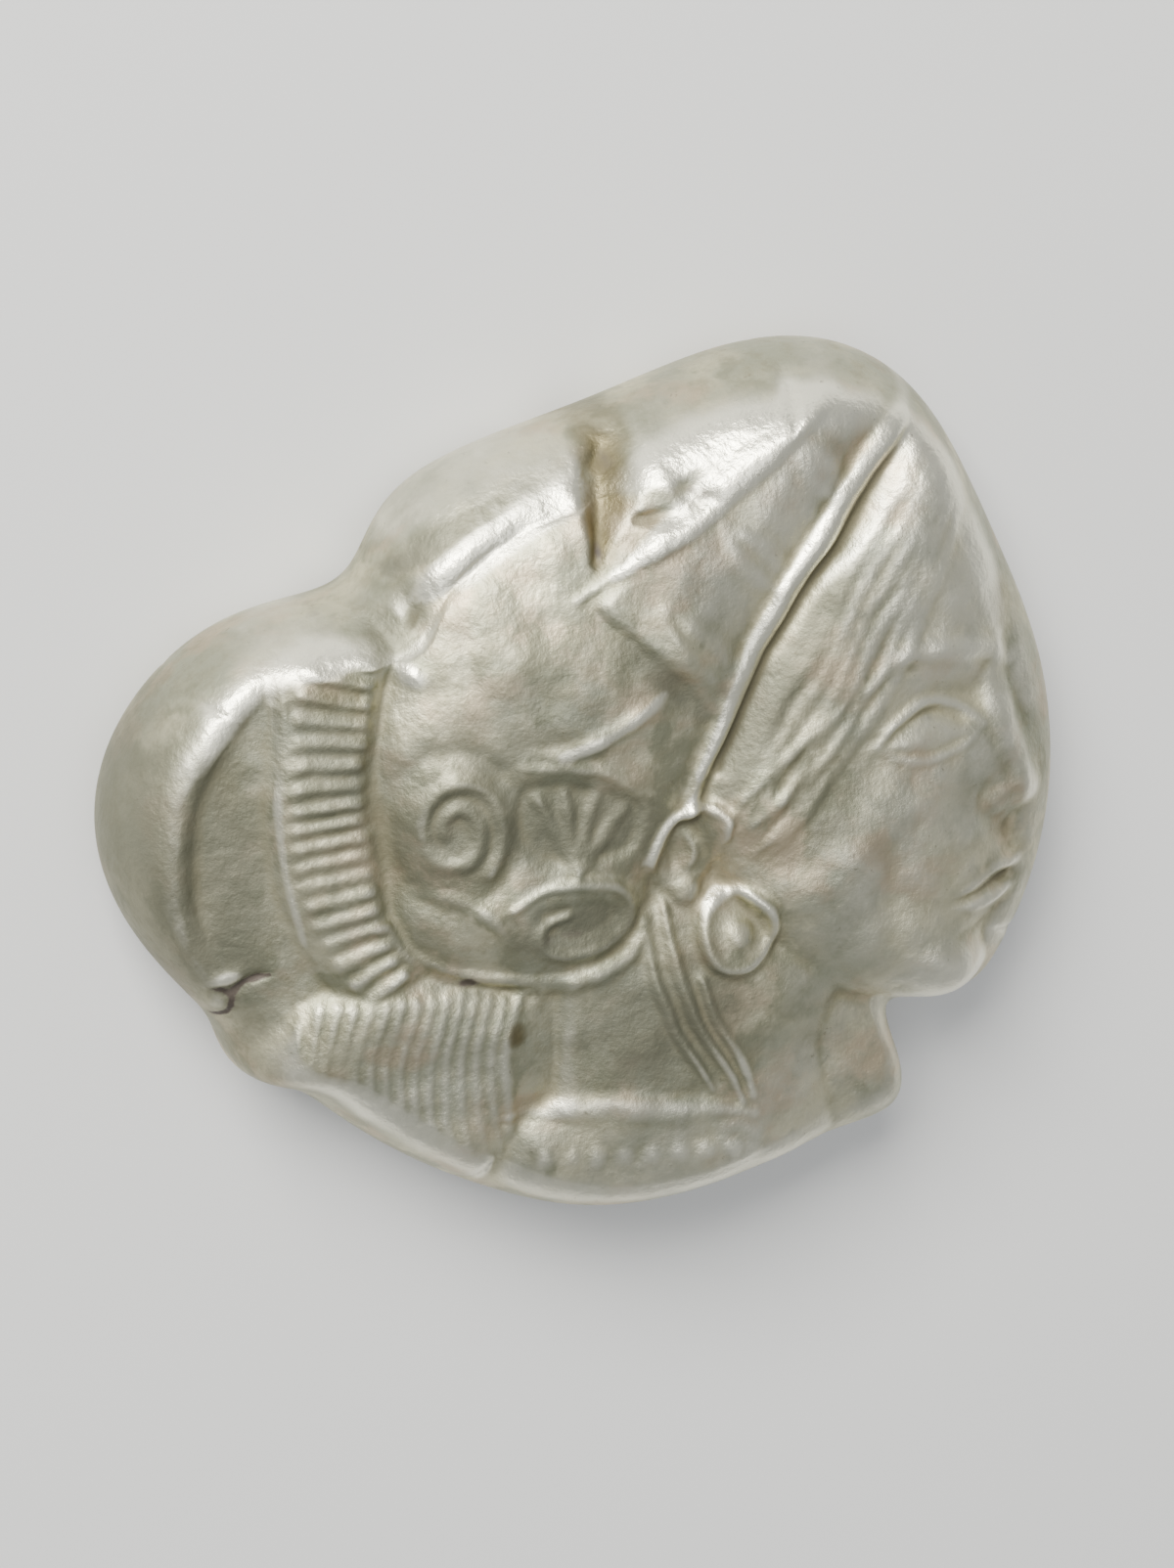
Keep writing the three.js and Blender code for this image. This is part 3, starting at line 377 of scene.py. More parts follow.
def nose(die):
    bridge = die.ridge([(10.4, 2.6), (10.25, 1.5), (10.6, 0.3), (11, -0.7), (11.25, -1.5)],
                       1.1, 0.26, (0.3, 1), 1.5)
    wing = die.boss((10.45, -1.6), (0.5, 0.4), 0.2, 20, 0.8)
    groove = die.ridge([(9.95, -1.05), (9.7, -1.6), (9.95, -2.05), (10.45, -2.15)], 0.26, 0.12, (0.5, 0.5))
    fold = die.ridge([(9.7, -2.1), (9.1, -2.8), (8.75, -3.4)], 0.7, 0.06, (0.4, 0.4), 2)
    return bridge + wing - groove - fold


def mouth(die):
    parting = die.ridge([(8.95, -3.9), (9.6, -3.95), (10.25, -3.85), (10.75, -3.85)], 0.2, 0.16, (0.5, 1))
    upper = die.ridge([(9.05, -3.75), (9.9, -3.5), (10.5, -3.35), (11, -3.4)], 0.5, 0.15, (0.3, 1), 1.3)
    lower = die.ridge([(9.2, -4.05), (10, -4.25), (10.5, -4.25), (10.8, -4.25)], 0.5, 0.16, (0.3, 1), 1.3)
    return upper + lower - parting - die.rise((8.8, -3.9), (0.26, 0.26), 0.1)


def forelocks(die):
    """Wavy locks beside the visor, and short curls before the ear."""
    base = [(2.75, -0.9), (3.2, 0.6), (4.1, 2.3), (5.0, 3.8), (6.0, 5.4), (7.1, 6.9), (8.2, 8.4)]
    narrow = [0.62, 0.85, 1, 1, 0.95, 0.8, 0.62]
    locks = []
    for i in range(6):
        points = []
        for k, (x, y) in enumerate(base):
            away = (0.55 + 0.43 * i) * narrow[k] + 0.09 * math.sin(k * 2.6 + i * 1.3)
            points.append((x + 0.84 * away, y - 0.54 * away))
        locks.append((points, 0.5, 0.09, (0.6, 0.4), 0.8))
    curls = [([(3.3, -0.5), (4.3, 0.35), (5.3, 1.1), (5.9, 1.75)], 0.42, 0.1, (0.5, 0.4)),
             ([(3.5, -1.2), (4.5, -0.4), (5.6, 0.5), (6.1, 1.2)], 0.42, 0.1, (0.5, 0.4)),
             ([(3.6, -1.9), (4.3, -1.4), (5.0, -0.7), (5.6, 0.1)], 0.42, 0.1, (0.5, 0.4))]
    return die.ridges(locks) + die.ridges(curls)


def strands(die):
    """Long strands of hair hanging behind the neck."""
    lines = []
    for i in range(15):
        x = -2.5 - 0.37 * i
        top = -4.75 + max(0, i - 6) * 0.03
        points = [(x + 0.3, top), (x - 0.05, -6.2), (x - 0.05, -8.0), (x + 0.4, -9.6), (x + 1.1, -11.2)]
        lines.append((points, 0.38, 0.16, (1, 1), 0.7))
    return die.ridges(lines)


def leaf(die, base, tip, width):
    base, tip = np.array(base), np.array(tip)
    middle, along = (base + tip) / 2, tip - base
    across = np.array([-along[1], along[0]]) / np.hypot(*along) * width / 2
    blade = die.outline([base, middle - across, tip, middle + across], 1.5)
    rib = die.ridge([base + 0.1 * along, base + 0.85 * along], 0.34, 0.07)
    return 0.14 * ease(blade / 0.4) - rib


def front_band(die):
    """The band over the brow, with its bright upper ridge and three upright leaves."""
    return (0.2 * ease(die.outline(FRONT_BAND, 2.0) / 0.4)
            + die.ridge([(-0.7, 4.85), (0.9, 5.9), (2.4, 6.9), (6.6, 9.9)], 0.85, 0.3, (0.2, 0.9), 1.4)
            + leaf(die, (3.5, 1.9), (1.1, 4.8), 1.5)
            + leaf(die, (4.75, 4.2), (2.6, 6.6), 1.4)
            + leaf(die, (6.2, 6.3), (4.6, 8.3), 1.25))


def scroll_work(die):
    """The scroll, palmette, loop and tendrils on the side of the bowl."""
    spiral = []
    for k in range(26):
        angle, radius = math.radians(24 * k - 50), 1.12 - 0.85 * k / 25
        up = SCROLL_TALLER * radius * math.sin(angle)
        spiral.append((SCROLL[0] + radius * math.cos(angle), SCROLL[1] + up))
    work = die.ridge(spiral, 0.46, 0.17, (0.8, 0.8)) - 0.2 * ease(die.outline(PALMETTE, 1.5) / 0.35)
    work = work - 0.1 * np.exp(-((np.sqrt(die.oval(SCROLL, (1, SCROLL_TALLER))) - 1.5) / 0.22) ** 2)
    for x, y in ((-1.8, 0.3), (-1.1, 0.35), (-0.35, 0.2), (0.35, -0.25)):
        petal = [(-0.85, -1.75), ((x - 0.85) / 2, (y - 1.65) / 2), (x, y)]
        work = work + die.ridge(petal, 0.4, 0.13, (0.4, 0.9))
    work = work + die.ridge([(-2.5, -2.4), (-1.9, -2.05), (-1.0, -1.95), (0.1, -2.15), (0.65, -2.85),
                             (0.35, -3.55), (-0.6, -3.85), (-1.7, -3.6), (-1.75, -3.0), (-1.1, -2.75)],
                            0.42, 0.2, (0.6, 0.6))
    within_loop = die.outline([(-1.9, -2.4), (-0.4, -2.3), (0.35, -2.85), (0.1, -3.4), (-0.9, -3.6),
                               (-1.8, -3.2)], 1.0)
    work = work - 0.14 * ease(within_loop / 0.35)
    work = work + die.ridge([(-2.1, 1.4), (-0.9, 1.4), (0.2, 1.85), (1.4, 2.6)], 0.6, 0.17, (0.3, 0.3), 1.5)
    work = work + die.ridge([(-2.3, 1.1), (-1.2, 1.0), (-0.2, 0.75), (0.75, 0.1)], 0.42, 0.17, (0.4, 0.4))
    return work + die.ridge([(-4.7, -1.8), (-3.7, -2.1), (-2.9, -2.6), (-2.4, -3.4)], 0.5, 0.12, (0.4, 0.4))


def neck_guard(die):
    return die.ridge([(-5.3, -2.6), (-4.7, -3.6), (-3.6, -4.25), (-2.0, -4.6), (-0.4, -4.55), (0.6, -4.1),
                      (1.0, -3.4)], 0.6, 0.22, (0.6, 0.6))


def ear(die):
    return (0.16 * ease(die.outline(EAR, 1.5) / 0.3)
            + die.ridge([(1.35, -2.5), (1.15, -1.7), (1.55, -0.95), (2.3, -0.6), (2.9, -0.9), (2.95, -1.5)],
                        0.36, 0.26, (0.6, 0.6))
            + die.ridge([(2.0, -1.3), (2.3, -1.75), (2.1, -2.3)], 0.3, 0.13, (0.6, 0.6))
            - die.rise((1.75, -1.8), (0.22, 0.45), 0.18)
            + die.boss((2.1, -2.85), (0.42, 0.4), 0.18))


def earring(die):
    disc = 0.22 * ease((1.22 - np.hypot(die.x - EARRING[0], die.y - EARRING[1])) / 0.25)
    return disc + die.ring(EARRING, 0.95, 0.4, 0.13) + die.boss(EARRING, (0.42, 0.42), 0.2)


def neck_locks(die):
    locks = [[(1.5, -3.0), (1.65, -4.6), (2.1, -6.0), (3.0, -7.6), (3.45, -8.6)],
             [(2.2, -4.9), (2.6, -6.0), (3.3, -7.2), (3.75, -8.5)],
             [(1.05, -3.8), (1.15, -5.0), (1.7, -6.4), (2.6, -8.1)]]
    return die.ridges([(points, 0.36, 0.2, (0.7, 0.5)) for points in locks])


def bust_edge(die):
    """The nape, and the cut edge of the bust with a row of worn beads."""
    edge = 0.13 * ease(die.outline(BUST, 2.0) / 0.5)
    edge = edge + die.ridge([(-1.0, -4.9), (-1.05, -7.9)], 1.1, 0.13, (0.8, 0.9))
    edge = edge + die.ridge([(-2.7, -8.1), (-0.3, -8.2), (2.7, -8.65), (3.85, -9.0)], 0.75, 0.17, (0.3, 0.3))
    for k in range(8):
        edge = edge + die.boss((-1.65 + 0.7 * k, -9.45 - 0.05 * k), (0.3, 0.34), 0.1, 0, 1.2)
    return edge


def crack(die):
    """The crack that runs in from the top edge, with its side branch."""
    return (die.ridge([(1.25, 10.4), (0.95, 9.2), (0.6, 8.1), (0.2, 6.9), (-0.1, 5.7)],
                      1.3, 0.46, (1, 0.25), 1.2)
            + die.ridge([(0.5, 7.9), (0.2, 6.8), (-0.05, 5.9)], 0.5, 0.08, (0.5, 0.5))
            + die.ridge([(0.9, 6.6), (1.7, 6.65), (2.6, 7.1)], 0.5, 0.2, (0.6, 0.3))
            + die.rise((2.35, 7.15), (0.5, 0.26), 0.18, -20)
            - die.rise((1.55, 7.4), (0.4, 0.3), 0.14, -40))


def breaks(die):
    """Cracks, nicks and flecks that reach over the rounded edge."""
    lobe = die.ridges([(LOBE_CRACK_LEFT, 0.2, 0.2, (0.6, 1)), (LOBE_CRACK_RIGHT, 0.2, 0.2, (1, 0.5)),
                       (LOBE_CRACK_DOWN, 0.2, 0.2, (1, 0.5))])
    notch = die.rise((-6.25, 4.46), (0.3, 0.18), 0.22, 10) + die.rise((-5.0, 4.25), (0.36, 0.26), 0.26, 60)
    notch = notch + die.rise((-4.3, 4.8), (0.2, 0.4), 0.2)
    flecks = sum(die.rise(at, radii, 0.17, turn) for at, radii, turn in FLECKS)
    return lobe + notch - flecks


def head_relief(die):
    bowl_in = die.outline(BOWL)
    profile = smooth(PROFILE)
    face_in = die.inside(np.vstack([profile, smooth(FACE_BACK), profile[:1]]))
    bunch_in = die.outline(HAIR_BUNCH)
    on_bowl, on_face = ease(bowl_in / 0.25), ease(face_in / 0.25)
    bowl = puff(bowl_in, 2.6, 0.95) + die.rise((0.3, 2.4), (4.4, 4.4), 0.26) * on_bowl
    face = puff(face_in, 2.6, 1.0) + on_face * flesh(die)
    neck = puff(die.outline(NECK), 2.4, 0.7)
    bunch = puff(bunch_in, 1.4, 0.6) + strands(die) * ease(bunch_in / 0.3)
    height = blend(neck, bunch, 0.1)
    height = blend(height, crest(die), 0.08)
    height = blend(height, face, 0.12)
    visor = die.ridge([(2.0, -0.6), (2.3, 0.3), (4.0, 3.6), (6.15, 6.6), (8.5, 9.1)],
                      1.35, 0.88, (0.6, 0.9), 1.2)
    height = np.maximum(0, blend(visor, blend(height, bowl, 0.12) - 0.06, 0.1) - 0.05)
    visor_groove = die.ridge([(2.85, 0.3), (4.4, 3.4), (6.5, 6.25), (8.2, 8.4)], 0.6, 0.14, (0.8, 0.3))
    height = height + (forelocks(die) - visor_groove) * on_face + front_band(die) * on_bowl
    height = height + scroll_work(die) + neck_guard(die)
    height = height + ear(die) + earring(die) + neck_locks(die) + bust_edge(die)
    return height + 0.8 * (eye(die) + nose(die) + mouth(die)) - crack(die)


# Forms of the back, seen from that side: x runs to its right.
def owl(die):
    body_in = die.outline([(2.6, 2.0), (3.0, 0.2), (2.6, -1.8), (1.4, -3.4), (-0.6, -4.2), (-2.6, -5.2),
                           (-4.6, -6.4), (-5.2, -5.8), (-4.2, -4.2), (-3.0, -2.0), (-2.0, 0.4), (-1.2, 2.2)])
    head_in = die.outline([(-1.6, 3.4), (-1.3, 4.8), (0.0, 5.6), (1.6, 5.6), (2.9, 4.8), (3.2, 3.4),
                           (2.6, 2.2), (0.8, 1.7), (-0.9, 2.1)])
    form = blend(puff(body_in, 1.8, 0.75), puff(head_in, 1.2, 0.8), 0.1) - 0.05
    detail = die.ridge([(1.0, 4.3), (1.0, 3.4), (1.0, 2.6)], 0.46, 0.2, (0.6, 0.8))
    for x in (0.0, 2.0):
        away = np.hypot(die.x - x, die.y - 3.9)
        detail = detail + 0.16 * ease((0.92 - away) / 0.2) - 0.2 * ease((0.62 - away) / 0.2)
        detail = detail + die.boss((x, 3.9), (0.36, 0.36), 0.24)
    feathers = []
    for i in range(6):
        points = [(-1.5 + 0.37 * i, 0.9 - 0.5 * i), (-1.6 + 0.17 * i, -1.0 - 0.55 * i),
                  (-2.6 + 0.26 * i, -3.1 - 0.5 * i)]
        feathers.append((points, 0.4, 0.16, (0.5, 0.6)))
    detail = detail + die.ridges(feathers)
    return np.maximum(0, form) + detail * ease(form / 0.3)


def owl_legs(die):
    return die.ridges([([(0.4, -3.6), (0.6, -4.8), (0.7, -6.0)], 0.7, 0.5, (1, 0.8)),
                       ([(1.7, -3.0), (2.0, -4.6), (2.2, -6.0)], 0.7, 0.5, (1, 0.8)),
                       ([(0.0, -6.3), (0.8, -6.05), (1.5, -6.3)], 0.4, 0.35, (0.6, 0.6)),
                       ([(1.6, -6.3), (2.3, -6.05), (3.1, -6.3)], 0.4, 0.35, (0.6, 0.6))])


def sprig_and_moon(die):
    sprig = die.ridges([([(-6.8, 6.9), (-5.9, 6.0), (-5.2, 5.2)], 0.32, 0.35, (0.7, 0.7)),
                        ([(-6.3, 5.9), (-6.3, 4.8), (-6.0, 3.7)], 0.8, 0.4, (0.4, 0.3)),
                        ([(-5.4, 6.3), (-4.3, 6.4), (-3.2, 6.1)], 0.8, 0.4, (0.4, 0.3))])
    moon_in = die.outline([(-4.6, 4.3), (-3.9, 4.9), (-3.0, 4.6), (-2.7, 3.8), (-3.1, 3.1), (-3.9, 2.9)], 2.0)
    moon = np.maximum(0, 0.4 * ease(moon_in / 0.3) - die.boss((-4.0, 4.2), (0.75, 0.7), 0.5))
    return sprig + moon + die.boss((-4.9, 5.3), (0.45, 0.45), 0.4)


def stroke_column(die):
    """A column of plain strokes, standing where the real coin has writing."""
    lines = []
    for i in range(9):
        lines.append(([(5.1 + 0.3 * (i % 2), 3.6 - 1.05 * i), (6.1, 3.9 - 1.05 * i)], 0.42, 0.35, (0.8, 0.8)))
    return die.ridges(lines)


def back_relief(die):
    return owl(die) + owl_legs(die) + sprig_and_moon(die) + stroke_column(die)


# Both faces of the coin.
def lay_on_flan(a, b, rounding):
    """Lays a square grid over the flan, its outer rows turning round the edge. Gives places and depths."""
    wide = np.abs(a) > np.abs(b)
    reach = np.where(wide, a, b)
    with np.errstate(divide="ignore", invalid="ignore"):
        angle = np.where(wide, math.pi / 4 * b / a, math.pi / 2 - math.pi / 4 * a / b)
    angle = np.where(reach == 0, 0, angle) + np.where(reach < 0, math.pi, 0) + math.radians(GRID_TURN)
    share = np.minimum(1, np.abs(reach))
    radius = flan_radius(angle)
    turns_at = 1 - EDGE_SHARE
    level = np.minimum(1, share / turns_at)
    flat = radius - level * (FLAN_RADIUS + (radius - rounding - FLAN_RADIUS) * level ** 2)
    turned = rounding * (1 - np.sin(np.clip((share - turns_at) / EDGE_SHARE, 0, 1) * math.pi / 2))
    depth = np.where(share < turns_at, flat, turned)
    laid = np.stack([(radius - depth) * np.cos(angle), (radius - depth) * np.sin(angle)])
    inner = ease((depth - 1.0) / 2.0)
    even = np.stack([evened(row.reshape(GRID_CELLS + 1, -1), GRID_PASSES).ravel() for row in laid])
    x, y = laid + (even - laid) * inner
    return x, y, np.where(inner > 0, flan_radius(np.arctan2(y, x)) - np.hypot(x, y), depth)


def round_edge(height, depth, rounding):
    """Brings a height down, or up, to the middle of the edge over a quarter of an oval."""
    level = np.clip(depth / rounding, 0, 1)
    return EDGE_MIDDLE + (height - EDGE_MIDDLE) * np.sqrt(1 - (1 - level) ** 2)


def head_side(x, y, depth):
    share = 1 - depth / flan_radius(np.arctan2(y, x))
    field = FIELD_AT_RIM + (FIELD_AT_CENTRE - FIELD_AT_RIM) * (1 - share ** 2)
    lip = LIP_HEIGHT * ease((0.2 - Die(x, y).outline(STRUCK, 2.0)) / 0.65) * ease((-x - 7.4) / 1.6)
    u = x - HEAD_DRAWN_AT[0] + LINE_STRAY * rough(x, y, LINE_STRAY_SIZE, 11)
    v = y - HEAD_DRAWN_AT[1] + LINE_STRAY * rough(x, y, LINE_STRAY_SIZE, 21)
    die = Die(u, v)
    struck = RELIEF_SHARE + RELIEF_UNEVEN * rough(x, y, RELIEF_UNEVEN_SIZE, 31)
    relief = head_relief(die) * struck * ease(depth / RELIEF_FADE)
    uneven = FIELD_ROLL * rough(x, y, FIELD_ROLL_SIZE, 41) + FIELD_ROUGH * rough(x, y, FIELD_ROUGH_SIZE, 51)
    height = round_edge(field + lip + relief + uneven, depth, HEAD_SIDE_ROUNDING)
    return height - breaks(die) * ease(depth / 0.3)


def back_side(x, y, depth):
    c, s = math.cos(math.radians(SQUARE_TURN)), math.sin(math.radians(SQUARE_TURN))
    dx, dy = x - SQUARE_CENTRE[0], y - SQUARE_CENTRE[1]
    p, q = dx * c + dy * s, dy * c - dx * s
    within = SQUARE_SIDE / 2 - np.maximum(np.abs(p), np.abs(q))
    drawn = SQUARE_SIDE / SQUARE_DRAWN
    relief = np.minimum(FIGURES_HIGHEST, back_relief(Die(-p / drawn, q / drawn)))
    relief = relief * ease((within - 0.4 * SQUARE_SLOPE) / 0.5)
    sunk = ease(within / SQUARE_SLOPE)
    return round_edge(sunk * (SQUARE_DEPTH - relief), depth, BACK_ROUNDING)


def evened(grid, passes):
    """Evens out a grid of values, each with its four neighbours, a number of times."""
    for _ in range(passes):
        padded = np.pad(grid, 1, mode="edge")
        grid = (padded[:-2, 1:-1] + padded[2:, 1:-1] + padded[1:-1, :-2] + padded[1:-1, 2:] + 4 * grid) / 8
    return grid


def worn(grid, passes, kept):
    """Rubs down what stands proud of its surroundings."""
    even = evened(grid, passes)
    proud = np.maximum(0, grid - even)
    return evened(grid - (1 - kept) * proud, SOFTENING_PASSES)


def toning_and_shade(die):
    """Places where the silver stayed dark, away from fingers, and painted shade: in the loop and palmette
    recesses, over the scroll, beside the temple and the visor, and on the lip's left shoulder.
    """
    dark = (die.rise((-1.0, -3.2), (1.4, 0.6), 1.4)
            + die.rise((-0.8, -0.6), (1.7, 0.9), 1.15)
            + die.rise((-5.0, 4.25), (0.4, 0.5), 0.9)
            + die.rise((-4.3, 4.8), (0.3, 0.5), 0.7)
            + die.ridge(SHOULDER_DIP, 0.8, 0.9, (0.5, 0.5))
            + die.rise((5.0, -0.4), (1.2, 1.0), 0.5, -40)
            + die.rise((-3.78, -0.3), (1.3, 1.5), 0.75)
            + die.rise((-2.2, 2.6), (3.2, 3.0), 0.4)
            + die.rise((3.9, 1.5), (0.6, 1.0), 1.1, -30)
            + die.rise((-6.6, 1.8), (1.2, 2.4), 0.55)
            + die.rise((1.9, -3.4), (1.0, 3.2), 0.5, 15)
            + die.rise((1.2, -6.2), (2.6, 1.7), 0.95)
            + die.rise((7.8, -4.5), (2.4, 2.4), 0.15)
            + die.rise((6.5, 1.2), (1.4, 2.4), 0.15, -30)
            + die.rise((-9.0, -1.2), (1.1, 3.8), 0.9)
            + die.rise((-10.9, -1.2), (1.3, 3.6), 1.5)
            + die.rise((-6.6, -6.0), (1.8, 1.2), 0.3, -20)
            + die.rise((-6.6, -1.6), (1.0, 2.6), 0.35)
            + die.rise((-8.4, -6.4), (2.4, 1.2), 0.25, -30))
    # These three lines are painted shade below the front band, a painted shadow along the struck edge's step,
    # and painted shade under the visor.
    line = die.ridge([(0.4, 3.9), (1.2, 3.0), (2.3, 1.8)], 0.9, 0.7, (0.5, 0.7))
    step = die.ridge([(-7.5, 3.3), (-8.5, 2.6), (-9.2, 1.7), (-9.6, 0.7), (-9.75, -0.6), (-9.6, -2.7)],
                     0.8, 0.7)
    visor = die.ridge([(3.0, -0.2), (3.7, 1.4), (4.9, 3.1), (6.7, 5.6)], 0.9, 1.2, (0.8, 0.2))
    return dark + line + step + visor


def polish_and_highlight(die):
    """Places rubbed bright, with painted highlights on the lip's upper shoulder and the ridges of the front
    band and the visor, and painted light on the face's right side, the chin and the bust.
    """
    return (die.rise((2.7, 8.6), (1.5, 0.9), 1.0)
            + die.ridge(SHOULDER_OUTER, 1.2, 1.4, (0.5, 0.9))
            + die.rise((-2.2, 7.3), (2.4, 0.9), 0.5, 35)
            + die.ridge([(-3.6, 7.6), (-1.6, 8.4), (0.3, 9.0)], 1.4, 0.7, (0.5, 0.9))
            + die.ridge(SHOULDER_INNER, 0.9, 1.1, (0.4, 0.9))
            # Painted highlight on the lip's upper shoulder.
            + die.ridge([(-6.3, 4.1), (-7.3, 4.2), (-8.2, 3.6), (-8.8, 2.6), (-9.4, 1.6)],
                        1.5, 1.15, (0.8, 0.2))
            + sum(die.rise(at, radii, 1.0, turn) for at, radii, turn in FLECKS)
            + die.rise((1.6, 7.75), (0.4, 0.3), 1.0, -40)
            # Painted highlights along the front band's ridge and the visor's ridge.
            + die.ridge([(0.2, 5.4), (2.4, 6.9), (6.5, 9.8)], 1.0, 1.1, (0.3, 0.9))
            + die.ridge([(2.35, 0.3), (4.05, 3.6), (6.25, 6.55), (8.4, 8.8)], 0.95, 1.2, (0.5, 0.8))
            + die.rise((-1.5, 5.0), (2.2, 0.9), 0.2, 20)
            + die.rise((2.7, -2.9), (0.6, 0.3), 0.9, 25)
            # Painted light on the face's right side, the chin and the bust.
            + die.rise((8.6, 3.0), (2.8, 5.0), 0.5)
            + die.rise((9.0, -6.2), (1.8, 1.2), 0.4)
            + die.rise((7.0, -4.0), (2.6, 2.8), 0.3)
            + die.rise((1.8, -9.8), (3.4, 1.2), 0.35)
            + die.rise((4.0, 6.2), (3.2, 1.8), 0.5, 52)
            + die.rise((-4.6, -7.0), (3.0, 2.2), 0.3)
            + die.rise((-6.7, 4.4), (1.2, 0.6), 0.9, 20)
            + die.rise((5.0, -8.2), (2.4, 1.6), 0.3)
            + die.ridge([(1.0, -1.8), (1.6, -0.8), (2.4, -0.35)], 0.5, 0.8)
            + die.ridge([(-1.2, 1.3), (0.2, 1.8), (1.3, 2.5)], 0.45, 0.6)
            + die.ridge([(-1.0, -5.0), (-1.05, -8.0)], 0.7, 0.3)
            + die.ridge([(-2.5, -8.1), (-0.2, -8.15), (2.4, -8.5)], 0.8, 0.35, (0.4, 0.4))
            + die.ridge([(-7.75, 3.4), (-7.8, 0.0), (-7.3, -3.0)], 0.3, 0.5)
            + die.ridge([(-9.2, -4.6), (-7.8, -6.0), (-6.0, -7.6)], 0.8, 0.4))


def rust(die):
    """Brown and reddish stains."""
    stain = die.ridge([(1.15, 10.2), (0.85, 9.2), (0.55, 8.1), (0.2, 6.9), (-0.1, 5.7)],
                      1.8, 1.0, (1, 0.5), 1.6)
    stain = stain + die.rise((2.2, 6.95), (0.6, 0.3), 0.6, -20) + die.rise((0.15, 6.5), (0.35, 0.9), 0.7, -10)
    stain = stain + die.boss((-2.3, -5.85), (0.34, 0.42), 0.9) + die.boss((10.4, 3.4), (0.6, 0.9), 0.5)
    stain = stain + die.boss((10.4, -2.6), (0.6, 1.1), 0.45) + die.rise((-6.7, 2.9), (1.1, 1.2), 0.45)
    stain = stain + die.rise((-5.1, -1.6), (0.4, 1.0), 0.45) + die.rise((-5.75, 1.6), (0.3, 2.2), 0.5)
    stain = stain + die.rise((-9.6, 1.6), (1.2, 1.0), 0.3) + die.rise((-8.6, 0.6), (0.6, 1.6), 0.3)
    stain = stain + die.rise((-2.3, -7.4), (0.5, 1.6), 0.25) + die.rise((4.4, 9.6), (0.9, 0.5), 0.3)
    return stain * (0.75 + 0.6 * rough(die.x, die.y, 0.8, 61))


def blackened(die):
    """Near-black colour in the deepest cracks and holes."""
    cracks = die.ridges([(LOBE_CRACK_LEFT, 0.24, 0.8, (0.6, 1)), (LOBE_CRACK_RIGHT, 0.26, 0.85, (1, 0.7)),
                         (LOBE_CRACK_DOWN, 0.24, 0.85, (1, 0.7))])
    holes = (die.rise((-3.45, -4.35), (0.3, 0.2), 0.75) + die.rise((-6.25, 4.46), (0.3, 0.18), 0.6, 10)
             + die.rise((2.4, 7.1), (0.42, 0.2), 0.6, -20) + die.rise((-1.2, -3.3), (0.8, 0.3), 0.4)
             + die.rise((0.55, 7.7), (0.3, 0.4), 0.5) + die.rise((-0.05, 5.9), (0.14, 0.3), 0.5))
    return (cracks + holes) * (1 + 0.8 * rough(die.x, die.y, 0.4, 71))


def back_toning(die):
    """Dark patches of the back, in the square's corners and round the figures."""
    return (die.rise((-4.6, 4.0), (2.2, 1.6), 0.6, -20) + die.rise((5.4, -5.6), (2.4, 2.0), 0.6, -20)
            + die.rise((5.0, 3.2), (1.6, 2.6), 0.45) + die.rise((-2.6, -6.4), (2.6, 1.4), 0.5, -20)
            + 0.35 * ease(rough(die.x, die.y, 3.2, 81)))


def back_polish(die):
    return 0.5 * ease(rough(die.x, die.y, 3.6, 91))


def make_face(name, height, rounding, outward, kept, paints, carried=()):
    """One face: its grid laid on the flan and raised, worn, with layers that say where stains, darkening,
    wear, painted shade and painted highlights go.
    The carried paints are those of the other face, which run over the rim."""
    bpy.ops.mesh.primitive_grid_add(x_subdivisions=GRID_CELLS, y_subdivisions=GRID_CELLS, size=2)
    face = bpy.context.object
    face.name = name
    mesh = face.data
    place = np.empty(3 * len(mesh.vertices))
    mesh.vertices.foreach_get("co", place)
    place = place.reshape(-1, 3)
    x, y, depth = lay_on_flan(place[:, 0], place[:, 1], rounding)
    side = GRID_CELLS + 1
    raised = (height(x, y, depth) * outward).reshape(side, side)
    rubbed = worn(raised, WEAR_PASSES, kept)
    z = raised + (rubbed - raised) * ease(depth / 0.4).reshape(side, side)
    mesh.vertices.foreach_set("co", (np.stack([x, y, z.ravel() * outward], 1) * MM).ravel())
    die = Die(x - HEAD_DRAWN_AT[0], y - HEAD_DRAWN_AT[1])
    inner = ease((depth - 0.1) / 0.9).reshape(side, side)
    layers = {layer: paint(die) for layer, paint in paints.items()}
    layers["hollow"] = (evened(z, HOLLOW_PASSES) - z) * inner
    layers["basin"] = (evened(z, BASIN_PASSES) - z) * inner
    # The rubbing and the painted highlights fade towards the rim.
    layers["polish_and_highlight"] = layers["polish_and_highlight"] * (RIM_POLISH_AND_HIGHLIGHT + (1 - RIM_POLISH_AND_HIGHLIGHT) * ease((depth - 0.3) / 1.1))
    for layer, paint in dict(carried).items():
        over_rim = (RIM_POLISH_AND_HIGHLIGHT if layer == "polish_and_highlight" else 1) * paint(die)
        layers[layer] = layers[layer] + (over_rim - layers[layer]) * (1 - ease(depth / 1.2))
    for layer, values in layers.items():
        mesh.attributes.new(layer, "FLOAT", "POINT").data.foreach_set("value", values.ravel())
    mesh.update()
    return face


